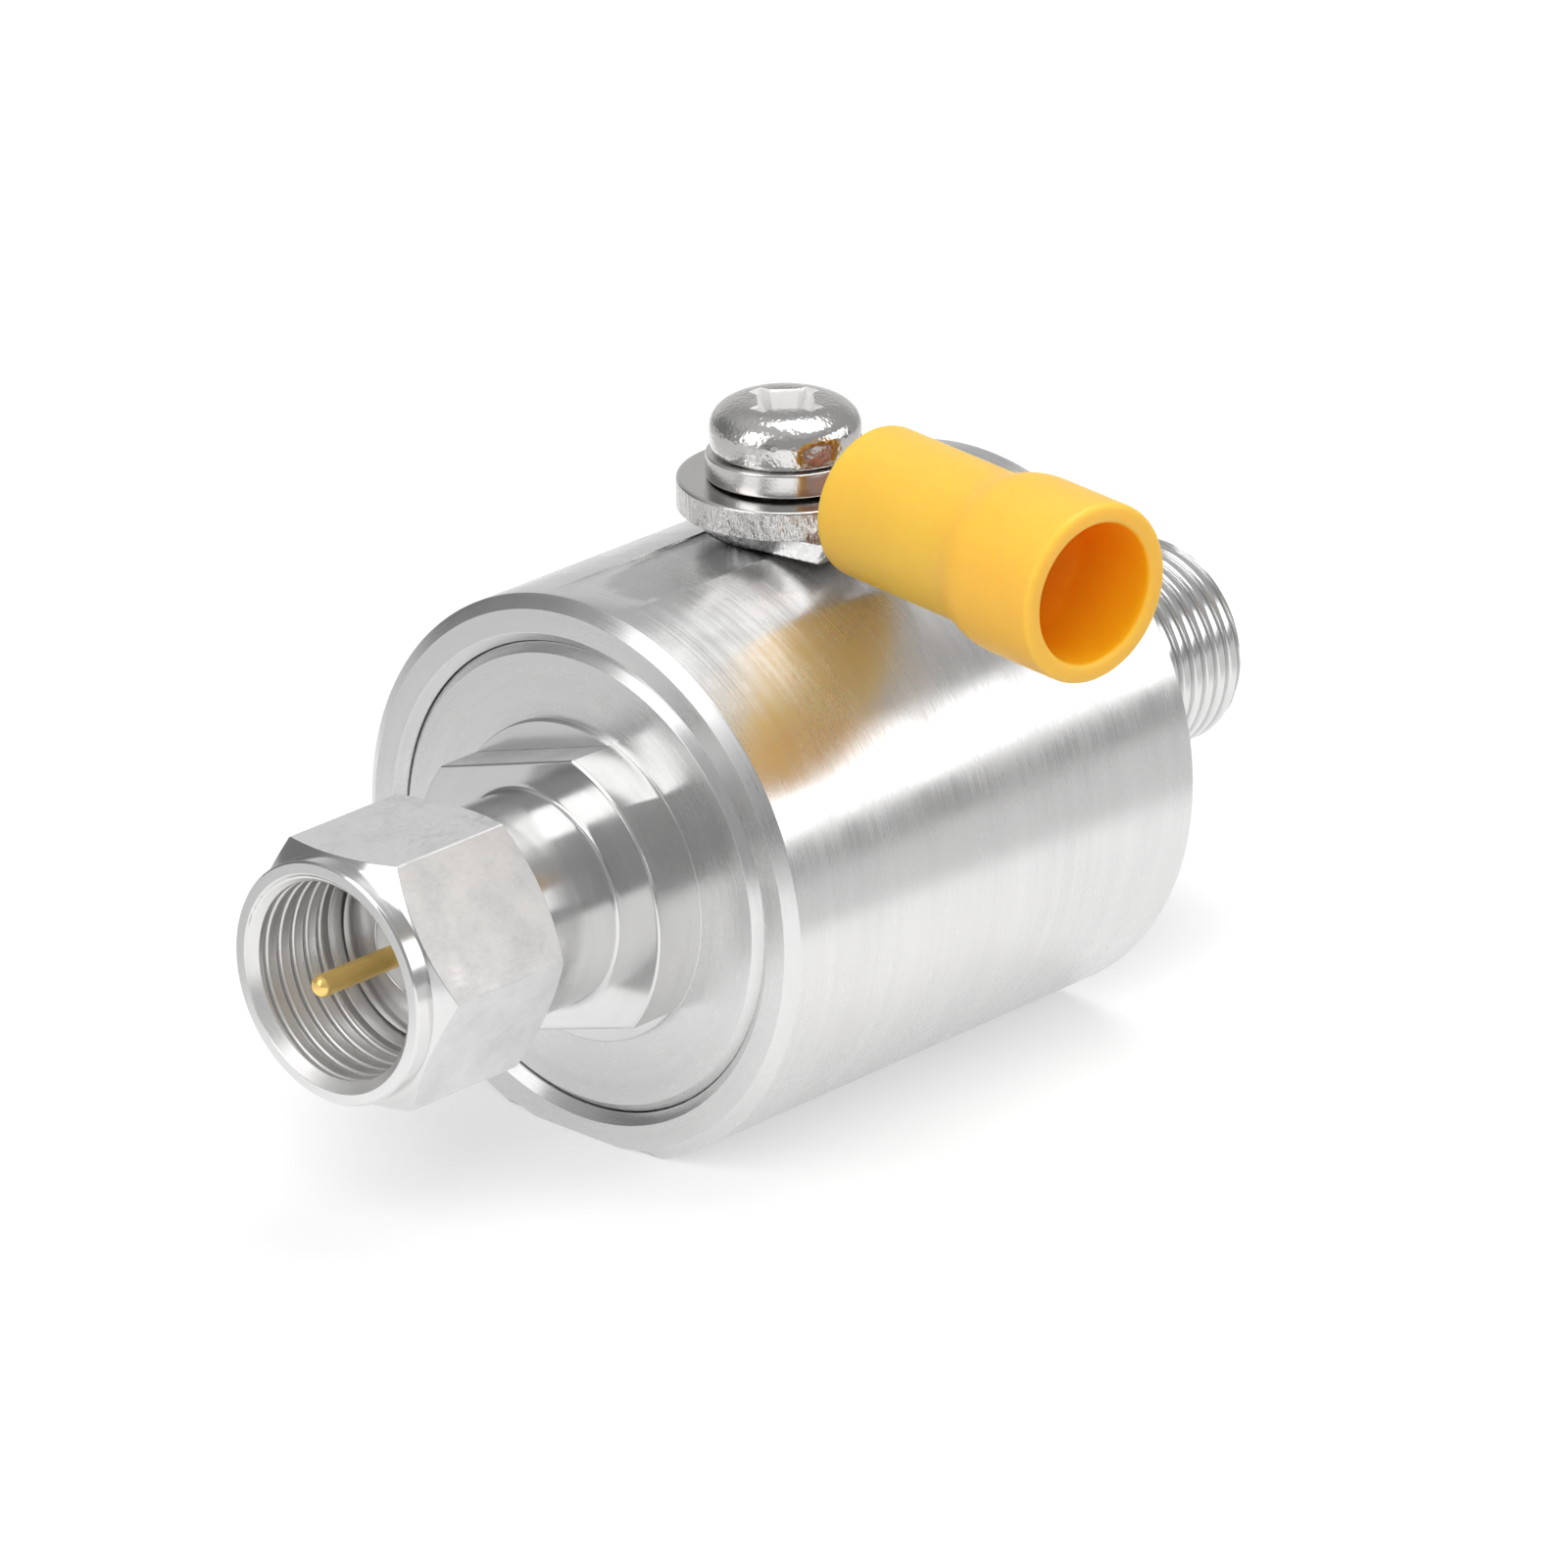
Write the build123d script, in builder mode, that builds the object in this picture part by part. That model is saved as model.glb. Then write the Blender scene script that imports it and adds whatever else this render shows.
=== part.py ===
from build123d import *
from math import cos, radians, sin, tan
import os

# Coax lightning arrestor with a male port, a female port, a gas discharge tube and a ground terminal.
# Millimetres. The X axis is the coax axis: the male port points to -X, the female port to +X.
# +Z is up through the ground screw, and the ground terminal points to -Y.
# The origin is on the coax axis in the mating face of the male port, where the pin leaves its insulator.

# Housing
body_d = 25.4
body_length = 26.0
body_edge_radial = 0.6
body_edge_axial = 0.4
rear_edge = 0.15
underside_cut = 0.85
rim_width = 2.15
plug_seat_depth = 3.6
seam_bevel = 0.5
seam_depth = 0.75
chamber_d = 10.5
rear_wall = 4.0

# Female port
thread_d = 9.525
thread_length = 12.8
thread_bevel = 0.45
thread_pitch = 25.4 / 32
thread_groove_width = 0.45
thread_groove_depth = 0.28
relief_d = 8.5
relief_width = 1.0
port_bore_d = 5.2
port_insulator_d = 6.8
port_insulator_length = 5.5
port_insulator_recess = 0.3
port_mouth_bevel = 0.3
entry_d = 1.2
entry_bevel = 0.5
entry_wall = 0.6

# Male end plug
plug_recess = 0.1
plug_bevel = 0.4
boss_d = 14.4
boss_length = 2.6
boss_flats = 11.9
boss_ledge = 0.35
boss_turn = 17.0
boss_edge = 0.12
neck_d = 9.6
neck_fillet = 0.2
neck_behind_nut = 4.4
nut_shoulder_gap = 0.2
spigot_d = 8.54
spigot_edge = 0.2
spigot_insulator_d = 4.3
plug_bore_d = 6.4

# Coupling nut
nut_length = 8.4
nut_flats = 11.0
nut_turn = -3.4
nut_collar_d = 10.8
nut_collar_length = 0.95
nut_collar_edge = 0.1
nut_mouth_d = 9.7
nut_thread_bore = 8.8
nut_thread_length = 5.0
nut_chamfer_angle = 30.0
undercut_d = 9.6
undercut_width = 0.6
running_gap = 0.08

# Retaining ring of the nut
ring_width = 0.8
ring_section = 1.05
ring_floor_d = 7.3
ring_back = 1.05
ring_split = 1.6
ring_gap = 0.05
ring_free_gap = 0.1

# Centre pin, rod and their insulators
pin_d = 1.0
pin_beyond_nut = 0.6
pin_tip_round = 0.42
pin_root_d = 1.4
pin_shoulder_d = 2.0
pin_tail_d = 1.4
pin_tail_length = 3.0
spigot_depth = 5.2
insulator_step = 3.8
insulator_length = 8.2
rod_d = 3.0
bead_d = 7.2
bead_width = 2.0
rod_flat_depth = 0.3
contact_d = 2.2
contact_bore_d = 1.1
contact_bore_depth = 6.0
contact_slot = 0.25
contact_slot_depth = 4.5
contact_tail_d = 1.5
contact_tail_length = 3.0
contact_clearance = 0.15
fit_gap = 0.01

# Gas discharge tube, its spring and its cap
tube_d = 5.5
tube_length = 6.0
electrode_width = 1.0
electrode_post_d = 2.4
spark_gap = 0.6
ceramic_wall = 0.9
pocket_clearance = 0.15
spring_height = 1.2
spring_thickness = 0.25
spring_hole_d = 2.6
spring_fingers = 6
spring_slot = 0.4
spring_slot_end = 0.5
cap_d = 8.0
cap_recess = 0.3
cap_edge = 0.25
cap_slot = 1.2
cap_slot_depth = 1.2
thread_gap = 0.03

# Ground screw and washers
screw_d = 4.0
screw_length = 8.0
screw_tip_bevel = 0.4
screw_hole_depth = 5.6
screw_offset = 0.3
head_d = 6.66
head_seat_d = 6.0
head_height = 2.23
head_rim = 0.25
head_widest = 0.91
head_side_pull = 0.85
head_crown_d = 3.0
head_crown_pull = 1.1
recess_d = 3.5
recess_width = 1.2
recess_depth = 1.5
recess_floor_d = 2.0
recess_floor_width = 0.7
recess_turn = 0.5
lock_washer_d = 6.96
lock_washer_hole = 4.2
lock_washer_width = 1.24
lock_split = 0.45
lock_split_lean = 25.0
lock_split_turn = 50.0
flat_washer_d = 9.5
flat_washer_hole = 4.4
flat_washer_width = 1.3
washer_edge = 0.08

# Ring terminal and its sleeve
terminal_turn = -6.1
stock = 0.9
ring_d = 7.2
ring_shift = 0.1
stud_hole_d = 4.3
tongue_width = 4.6
tongue_clearance = 0.05
curl_end = 6.0
curl_half_angle = 60.0
curl_overlap = 1.6
barrel_d = 5.4
barrel_bore_d = 3.6
barrel_start = 6.6
barrel_end = 13.4
barrel_slant = 1.3
barrel_seam = 0.12
sleeve_start = 6.1
sleeve_end = 19.85
sleeve_neck_d = 6.8
sleeve_mouth_d = 7.95
sleeve_flare_start = 12.6
sleeve_flare_end = 15.8
sleeve_mouth_bore = 6.2
sleeve_rim_round = 0.35
sleeve_back_round = 0.5
funnel_d = 3.8
funnel_land = 0.4
funnel_end = 15.6

# Cutters run this far past the faces they open
overrun = 1.0

# Sizes and numbers that follow from the ones above
underside_height = body_d / 2 - underside_cut
plug_seat_d = body_d - 2 * rim_width
thread_grooves = int((thread_length - relief_width - thread_bevel) / thread_pitch)
nut_corner = nut_flats / 2 / cos(radians(30))
nut_chamfer_run = (nut_corner - nut_collar_d / 2) * tan(radians(nut_chamfer_angle))
nut_bore_d = spigot_d + 2 * running_gap
ring_outer_d = ring_floor_d + 2 * (ring_gap + ring_section)
post_length = (tube_length - 2 * electrode_width - spark_gap) / 2
tongue_end = flat_washer_d / 2 + tongue_clearance

# Places along the coax axis, from the mating face of the male port
x_nut_front = -spigot_depth
x_pin_tip = x_nut_front - pin_beyond_nut
x_hex = x_nut_front + nut_collar_length
x_thread_end = x_nut_front + nut_thread_length
x_nut_back = x_nut_front + nut_length
x_neck = x_nut_back + nut_shoulder_gap
x_ring_back = x_nut_back - ring_back
x_ring_front = x_ring_back - ring_width
x_insulator_step = insulator_step
x_insulator_back = insulator_length
x_boss = x_nut_back + neck_behind_nut
x_plug_face = x_boss + boss_length
x_front = x_plug_face - plug_recess
x_plug_back = x_front + plug_seat_depth
x_rear = x_front + body_length
x_middle = (x_front + x_rear) / 2
x_screw = x_middle + screw_offset
x_port = x_rear + thread_length
x_rod_front = x_insulator_back
x_chamber_rear = x_rear - rear_wall
x_rod_rear = x_chamber_rear + bead_width
x_port_insulator_front = x_port - port_insulator_recess
x_port_insulator_back = x_port - port_insulator_length
x_contact_front = x_port_insulator_front - entry_wall - contact_clearance

# Heights above the coax axis
z_rod_flat = -(rod_d / 2 - rod_flat_depth)
z_tube_bottom = z_rod_flat - tube_length
z_cap_seat = z_tube_bottom - spring_height
z_cap_face = -underside_height + cap_recess
z_terminal = body_d / 2
z_flat_washer = z_terminal + stock
z_lock_washer = z_flat_washer + flat_washer_width
z_head = z_lock_washer + lock_washer_width
z_screw_tip = z_head - screw_length
z_barrel = z_terminal + barrel_d / 2

# Planes of the ground terminal: its own frame starts in the middle of its ring and runs along the wire barrel
terminal_dir = Vector(sin(radians(terminal_turn)), -cos(radians(terminal_turn)), 0)
terminal_side = Vector(0, 0, 1).cross(terminal_dir)
terminal_base = Vector(x_screw - ring_shift, 0, z_terminal)
terminal_plan = Plane(origin=terminal_base, x_dir=terminal_dir, z_dir=(0, 0, 1))
barrel_axis_point = Vector(x_screw - ring_shift, 0, z_barrel)
barrel_profile = Plane(origin=barrel_axis_point, x_dir=terminal_dir, z_dir=-terminal_side)
barrel_axis = Axis(barrel_axis_point, terminal_dir)

os.makedirs("parts", exist_ok=True)


def barrel_section(along):
    """Give the plane across the wire barrel at a distance from the middle of the ring."""
    return Plane(origin=barrel_axis_point + along * terminal_dir, x_dir=terminal_side, z_dir=terminal_dir)


def save(piece, name):
    """Write one sub-part under the name of its node."""
    piece.part.label = name
    export_step(piece.part, f"parts/{name}.step")


# Housing: turned body and female port, then the underside flat and the radial holes.
# The port's thread is drawn as one V groove to each pitch, from the mouth back to the relief.
groove_points = []
for groove in range(thread_grooves):
    x_groove = x_port - thread_bevel - (groove + 0.5) * thread_pitch
    groove_points.append((x_groove + thread_groove_width / 2, thread_d / 2))
    groove_points.append((x_groove, thread_d / 2 - thread_groove_depth))
    groove_points.append((x_groove - thread_groove_width / 2, thread_d / 2))
with BuildPart() as housing:
    with BuildSketch(Plane.XY):
        with BuildLine():
            Polyline(
                (x_port, port_insulator_d / 2 + port_mouth_bevel),
                (x_port, thread_d / 2 - thread_bevel),
                (x_port - thread_bevel, thread_d / 2),
                *groove_points,
                (x_rear + relief_width, thread_d / 2),
                (x_rear + relief_width, relief_d / 2),
                (x_rear, relief_d / 2),
                (x_rear, body_d / 2 - rear_edge),
                (x_rear - rear_edge, body_d / 2),
                (x_front + body_edge_axial, body_d / 2),
                (x_front, body_d / 2 - body_edge_radial),
                (x_front, plug_seat_d / 2 + seam_bevel),
                (x_front + seam_depth, plug_seat_d / 2),
                (x_plug_back, plug_seat_d / 2),
                (x_plug_back, chamber_d / 2),
                (x_chamber_rear, chamber_d / 2),
                (x_chamber_rear, bead_d / 2),
                (x_rod_rear, bead_d / 2),
                (x_rod_rear, port_bore_d / 2),
                (x_port_insulator_back, port_bore_d / 2),
                (x_port_insulator_back, port_insulator_d / 2),
                (x_port - port_mouth_bevel, port_insulator_d / 2),
                close=True,
            )
        make_face()
    revolve(axis=Axis.X)
    # Underside flat, milled along the whole body
    with BuildSketch(Plane.XY.offset(-underside_height)):
        with Locations((x_middle, 0)):
            Rectangle(body_length, body_d)
    extrude(amount=underside_height - body_d / 2 - overrun, mode=Mode.SUBTRACT)
    # Tapped hole of the ground screw
    with BuildSketch(Plane.XY.offset(body_d / 2 + overrun)):
        with Locations((x_screw, 0)):
            Circle(screw_d / 2)
    extrude(amount=-screw_hole_depth - overrun, mode=Mode.SUBTRACT)
    # Pocket of the gas tube, open to the chamber, and the tapped hole of its cap
    with BuildSketch(Plane.XY.offset(z_cap_seat)):
        with Locations((x_middle, 0)):
            Circle(tube_d / 2 + pocket_clearance)
    extrude(amount=-z_cap_seat, mode=Mode.SUBTRACT)
    with BuildSketch(Plane.XY.offset(z_cap_seat)):
        with Locations((x_middle, 0)):
            Circle(cap_d / 2)
    extrude(amount=-underside_height - z_cap_seat - overrun, mode=Mode.SUBTRACT)
save(housing, "housing")

# Male end plug: inset disc, boss, neck and spigot, bored for the insulators
with BuildPart() as male_end_plug:
    with BuildSketch(Plane.XY):
        with BuildLine():
            Polyline(
                (0, spigot_insulator_d / 2),
                (0, spigot_d / 2 - spigot_edge),
                (spigot_edge, spigot_d / 2),
                (x_ring_front - ring_gap, spigot_d / 2),
                (x_ring_front - ring_gap, ring_floor_d / 2),
                (x_ring_back + ring_gap, ring_floor_d / 2),
                (x_ring_back + ring_gap, spigot_d / 2),
                (x_neck, spigot_d / 2),
                (x_neck, neck_d / 2),
                (x_boss, neck_d / 2),
                (x_boss, boss_d / 2 - boss_edge),
                (x_boss + boss_edge, boss_d / 2),
                (x_plug_face, boss_d / 2),
                (x_plug_face, plug_seat_d / 2 - fit_gap - plug_bevel),
                (x_plug_face + plug_bevel, plug_seat_d / 2 - fit_gap),
                (x_plug_back, plug_seat_d / 2 - fit_gap),
                (x_plug_back, bead_d / 2),
                (x_plug_back - bead_width, bead_d / 2),
                (x_plug_back - bead_width, plug_bore_d / 2),
                (x_insulator_step, plug_bore_d / 2),
                (x_insulator_step, spigot_insulator_d / 2),
                close=True,
            )
        make_face()
    revolve(axis=Axis.X)
    # Two wrench flats, milled down to a thin ledge on the disc's face
    with BuildSketch(Plane.YZ.offset(x_boss)):
        with PolarLocations(boss_flats / 2 + boss_d / 2, 2, start_angle=90 - boss_turn):
            Rectangle(boss_d, 2 * boss_d)
        Circle(neck_d / 2, mode=Mode.SUBTRACT)
    extrude(amount=boss_length - boss_ledge, mode=Mode.SUBTRACT)
    fillet(
        male_end_plug.edges().filter_by(GeomType.CIRCLE)
        .filter_by(lambda edge: abs(edge.radius - neck_d / 2) < fit_gap)
        .sort_by(Axis.X)[-1],
        radius=neck_fillet,
    )
save(male_end_plug, "male_end_plug")

# Coupling nut: hexagon cut by the turned envelope, with the collar in front, then its bore
with BuildPart() as coupling_nut:
    with BuildSketch(Plane.YZ.offset(x_hex)):
        RegularPolygon(nut_flats / 2, 6, major_radius=False, rotation=nut_turn)
    extrude(amount=x_nut_back - x_hex)
    with BuildSketch(Plane.XY):
        with BuildLine():
            Polyline(
                (x_hex, 0),
                (x_hex, nut_collar_d / 2),
                (x_hex + nut_chamfer_run, nut_corner),
                (x_nut_back - nut_chamfer_run, nut_corner),
                (x_nut_back, nut_collar_d / 2),
                (x_nut_back, 0),
                close=True,
            )
        make_face()
    revolve(axis=Axis.X, mode=Mode.INTERSECT)
    with BuildSketch(Plane.XY):
        with BuildLine():
            Polyline(
                (x_nut_front, 0),
                (x_nut_front, nut_collar_d / 2 - nut_collar_edge),
                (x_nut_front + nut_collar_edge, nut_collar_d / 2),
                (x_hex, nut_collar_d / 2),
                (x_hex, 0),
                close=True,
            )
        make_face()
    revolve(axis=Axis.X)
    with BuildSketch(Plane.XY):
        with BuildLine():
            Polyline(
                (x_nut_front, 0),
                (x_nut_front, nut_mouth_d / 2),
                (x_nut_front + (nut_mouth_d - nut_thread_bore) / 2, nut_thread_bore / 2),
                (x_thread_end, nut_thread_bore / 2),
                (x_thread_end, undercut_d / 2),
                (x_thread_end + undercut_width, undercut_d / 2),
                (x_thread_end + undercut_width, nut_bore_d / 2),
                (x_ring_front - ring_free_gap, nut_bore_d / 2),
                (x_ring_front - ring_free_gap, ring_outer_d / 2 + ring_free_gap),
                (x_ring_back + ring_free_gap, ring_outer_d / 2 + ring_free_gap),
                (x_ring_back + ring_free_gap, nut_bore_d / 2),
                (x_nut_back, nut_bore_d / 2),
                (x_nut_back, 0),
                close=True,
            )
        make_face()
    revolve(axis=Axis.X, mode=Mode.SUBTRACT)
save(coupling_nut, "coupling_nut")

# Open retaining ring in the plug's groove
with BuildPart() as nut_retaining_ring:
    with BuildSketch(Plane.YZ.offset(x_ring_front)):
        Circle(ring_outer_d / 2)
        Circle(ring_floor_d / 2 + ring_gap, mode=Mode.SUBTRACT)
        with Locations((0, -ring_outer_d / 2)):
            Rectangle(ring_split, ring_outer_d, mode=Mode.SUBTRACT)
    extrude(amount=ring_width)
save(nut_retaining_ring, "nut_retaining_ring")

# Stepped insulator of the male port
with BuildPart() as male_insulator:
    with BuildSketch(Plane.XY):
        with BuildLine():
            Polyline(
                (0, pin_root_d / 2 + fit_gap),
                (0, spigot_insulator_d / 2 - fit_gap),
                (x_insulator_step, spigot_insulator_d / 2 - fit_gap),
                (x_insulator_step, plug_bore_d / 2 - fit_gap),
                (x_insulator_back, plug_bore_d / 2 - fit_gap),
                (x_insulator_back, pin_shoulder_d / 2 + fit_gap),
                (x_insulator_step, pin_shoulder_d / 2 + fit_gap),
                (x_insulator_step, pin_root_d / 2 + fit_gap),
                close=True,
            )
        make_face()
    revolve(axis=Axis.X)
save(male_insulator, "male_insulator")

# Gold pin: rounded tip, shoulder in the insulator and a tail in the rod
with BuildPart() as center_pin:
    with BuildSketch(Plane.XY):
        with BuildLine():
            Polyline(
                (x_pin_tip, 0),
                (x_pin_tip, pin_d / 2 - pin_tip_round),
            )
            RadiusArc(
                (x_pin_tip, pin_d / 2 - pin_tip_round),
                (x_pin_tip + pin_tip_round, pin_d / 2),
                pin_tip_round,
            )
            Polyline(
                (x_pin_tip + pin_tip_round, pin_d / 2),
                (0, pin_d / 2),
                (0, pin_root_d / 2),
                (x_insulator_step, pin_root_d / 2),
                (x_insulator_step, pin_shoulder_d / 2),
                (x_rod_front, pin_shoulder_d / 2),
                (x_rod_front, pin_tail_d / 2),
                (x_rod_front + pin_tail_length, pin_tail_d / 2),
                (x_rod_front + pin_tail_length, 0),
                (x_pin_tip, 0),
            )
        make_face()
    revolve(axis=Axis.X)
save(center_pin, "center_pin")

# Inner conductor: rod bored at both ends, with a flat where the gas tube stands
with BuildPart() as inner_conductor:
    with BuildSketch(Plane.XY):
        with BuildLine():
            Polyline(
                (x_rod_front, pin_tail_d / 2 + fit_gap),
                (x_rod_front, rod_d / 2),
                (x_rod_rear, rod_d / 2),
                (x_rod_rear, contact_tail_d / 2 + fit_gap),
                (x_rod_rear - contact_tail_length, contact_tail_d / 2 + fit_gap),
                (x_rod_rear - contact_tail_length, 0),
                (x_rod_front + pin_tail_length, 0),
                (x_rod_front + pin_tail_length, pin_tail_d / 2 + fit_gap),
                close=True,
            )
        make_face()
    revolve(axis=Axis.X)
    with BuildSketch(Plane.XY.offset(z_rod_flat)):
        with Locations((x_middle, 0)):
            Rectangle(tube_d, rod_d)
    extrude(amount=-rod_d, mode=Mode.SUBTRACT)
save(inner_conductor, "inner_conductor")

# The two beads that centre the rod, one in the plug and one in the housing's rear wall
for bead_name, bead_x in (("front_bead", x_plug_back - bead_width), ("rear_bead", x_chamber_rear)):
    with BuildPart() as bead:
        with BuildSketch(Plane.YZ.offset(bead_x)):
            Circle(bead_d / 2 - fit_gap)
            Circle(rod_d / 2 + fit_gap, mode=Mode.SUBTRACT)
        extrude(amount=bead_width)
    save(bead, bead_name)

# Female contact: socket with two slots, and a tail in the rod
with BuildPart() as female_contact:
    with BuildSketch(Plane.XY):
        with BuildLine():
            Polyline(
                (x_contact_front, contact_bore_d / 2),
                (x_contact_front, contact_d / 2),
                (x_rod_rear, contact_d / 2),
                (x_rod_rear, contact_tail_d / 2),
                (x_rod_rear - contact_tail_length, contact_tail_d / 2),
                (x_rod_rear - contact_tail_length, 0),
                (x_contact_front - contact_bore_depth, 0),
                (x_contact_front - contact_bore_depth, contact_bore_d / 2),
                close=True,
            )
        make_face()
    revolve(axis=Axis.X)
    with BuildSketch(Plane.YZ.offset(x_contact_front)):
        Rectangle(contact_slot, 2 * contact_d)
    extrude(amount=-contact_slot_depth, mode=Mode.SUBTRACT)
save(female_contact, "female_contact")

# Female insulator: cup with a bevelled entry hole in front of the contact
with BuildPart() as female_insulator:
    with BuildSketch(Plane.XY):
        with BuildLine():
            Polyline(
                (x_port_insulator_front, entry_d / 2 + entry_bevel),
                (x_port_insulator_front, port_insulator_d / 2 - fit_gap),
                (x_port_insulator_back, port_insulator_d / 2 - fit_gap),
                (x_port_insulator_back, contact_d / 2 + contact_clearance),
                (x_port_insulator_front - entry_wall, contact_d / 2 + contact_clearance),
                (x_port_insulator_front - entry_wall, entry_d / 2),
                (x_port_insulator_front - entry_bevel, entry_d / 2),
                close=True,
            )
        make_face()
    revolve(axis=Axis.X)
save(female_insulator, "female_insulator")

# Gas discharge tube: ceramic ring between two stepped electrodes
tube_axis = Axis((x_middle, 0, 0), (0, 0, 1))
with BuildPart() as gas_tube_ceramic:
    with BuildSketch(Plane.XY.offset(z_tube_bottom + electrode_width)):
        with Locations((x_middle, 0)):
            Circle(tube_d / 2)
            Circle(tube_d / 2 - ceramic_wall, mode=Mode.SUBTRACT)
    extrude(amount=tube_length - 2 * electrode_width)
save(gas_tube_ceramic, "gas_tube_ceramic")

for electrode_name, face_z, way in (
    ("gas_tube_inner_electrode", z_rod_flat, -1),
    ("gas_tube_outer_electrode", z_tube_bottom, 1),
):
    with BuildPart() as electrode:
        with BuildSketch(Plane.XY.offset(face_z)):
            with Locations((x_middle, 0)):
                Circle(tube_d / 2)
        extrude(amount=way * electrode_width)
        with BuildSketch(Plane.XY.offset(face_z + way * electrode_width)):
            with Locations((x_middle, 0)):
                Circle(electrode_post_d / 2)
        extrude(amount=way * post_length)
    save(electrode, electrode_name)

# Conical contact spring with fingers, between the cap and the tube
with BuildPart() as contact_spring:
    with BuildSketch(Plane(origin=(x_middle, 0, z_cap_seat), x_dir=(1, 0, 0), z_dir=(0, -1, 0))):
        with BuildLine():
            Polyline(
                (spring_hole_d / 2, spring_height - spring_thickness),
                (spring_hole_d / 2, spring_height),
                (spring_hole_d / 2 + spring_thickness, spring_height),
                (tube_d / 2, spring_thickness),
                (tube_d / 2, 0),
                (tube_d / 2 - spring_thickness, 0),
                close=True,
            )
        make_face()
    revolve(axis=tube_axis)
    with BuildSketch(Plane.XY.offset(z_cap_seat)):
        with Locations((x_middle, 0)):
            with PolarLocations(0, spring_fingers):
                with Locations(((tube_d / 2 - spring_slot_end) / 2, 0)):
                    Rectangle(tube_d / 2 - spring_slot_end, spring_slot)
    extrude(amount=spring_height, mode=Mode.SUBTRACT)
save(contact_spring, "contact_spring")

# Slotted cap of the gas tube, let into the underside flat
with BuildPart() as gas_tube_cap:
    with BuildSketch(Plane.XY.offset(z_cap_seat)):
        with Locations((x_middle, 0)):
            Circle(cap_d / 2 - thread_gap)
    extrude(amount=z_cap_face - z_cap_seat)
    chamfer(gas_tube_cap.faces().sort_by(Axis.Z)[0].edges(), length=cap_edge)
    with BuildSketch(Plane.XY.offset(z_cap_face)):
        with Locations((x_middle, 0)):
            Rectangle(cap_d, cap_slot)
    extrude(amount=cap_slot_depth, mode=Mode.SUBTRACT)
save(gas_tube_cap, "gas_tube_cap")

# Ground screw: crowned head with a rim, cross recess and a shank
screw_axis = Axis((x_screw, 0, 0), (0, 0, 1))
head_plane = Plane(origin=(x_screw, 0, z_head), x_dir=(1, 0, 0), z_dir=(0, -1, 0))
with BuildPart() as ground_screw:
    with BuildSketch(head_plane):
        with BuildLine():
            Polyline(
                (0, head_height),
                (0, -screw_length),
                (screw_d / 2 - thread_gap - screw_tip_bevel, -screw_length),
                (screw_d / 2 - thread_gap, -screw_length + screw_tip_bevel),
                (screw_d / 2 - thread_gap, 0),
                (head_seat_d / 2, 0),
                (head_seat_d / 2, head_rim),
            )
            Bezier(
                (head_seat_d / 2, head_rim),
                (head_d / 2, head_rim),
                (head_d / 2, head_widest),
            )
            Bezier(
                (head_d / 2, head_widest),
                (head_d / 2, head_widest + head_side_pull),
                (head_crown_d / 2 + head_crown_pull, head_height),
                (head_crown_d / 2, head_height),
            )
            Line((head_crown_d / 2, head_height), (0, head_height))
        make_face()
    revolve(axis=screw_axis)
    with BuildSketch(Plane.XY.offset(z_head + head_height)):
        with Locations((x_screw, 0)):
            with PolarLocations(0, 2, start_angle=recess_turn, angular_range=180):
                Rectangle(recess_d, recess_width)
    with BuildSketch(Plane.XY.offset(z_head + head_height - recess_depth)):
        with Locations((x_screw, 0)):
            with PolarLocations(0, 2, start_angle=recess_turn, angular_range=180):
                Rectangle(recess_floor_d, recess_floor_width)
    loft(mode=Mode.SUBTRACT)
save(ground_screw, "ground_screw")

# Split lock washer at its height under the tightened screw, its slanting split turned to the back
with BuildPart() as lock_washer:
    with BuildSketch(Plane.XY.offset(z_lock_washer)):
        with Locations((x_screw, 0)):
            Circle(lock_washer_d / 2)
            Circle(lock_washer_hole / 2, mode=Mode.SUBTRACT)
    extrude(amount=lock_washer_width)
    split_way = Vector(cos(radians(lock_split_turn)), sin(radians(lock_split_turn)), 0)
    split_side = Vector(0, 0, 1).cross(split_way)
    split_start = Vector(x_screw, 0, z_lock_washer + lock_washer_width / 2)
    with BuildSketch(Plane(origin=split_start, x_dir=split_side, z_dir=split_way)):
        Rectangle(lock_split, lock_washer_width + 2 * overrun, rotation=lock_split_lean)
    extrude(amount=lock_washer_d, mode=Mode.SUBTRACT)
save(lock_washer, "lock_washer")

# Flat washer
with BuildPart() as flat_washer:
    with BuildSketch(Plane.XY.offset(z_flat_washer)):
        with Locations((x_screw, 0)):
            Circle(flat_washer_d / 2)
            Circle(flat_washer_hole / 2, mode=Mode.SUBTRACT)
    extrude(amount=flat_washer_width)
    chamfer(
        flat_washer.faces().sort_by(Axis.Z)[-1].edges().sort_by(SortBy.RADIUS)[-1],
        length=washer_edge,
    )
save(flat_washer, "flat_washer")

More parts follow.
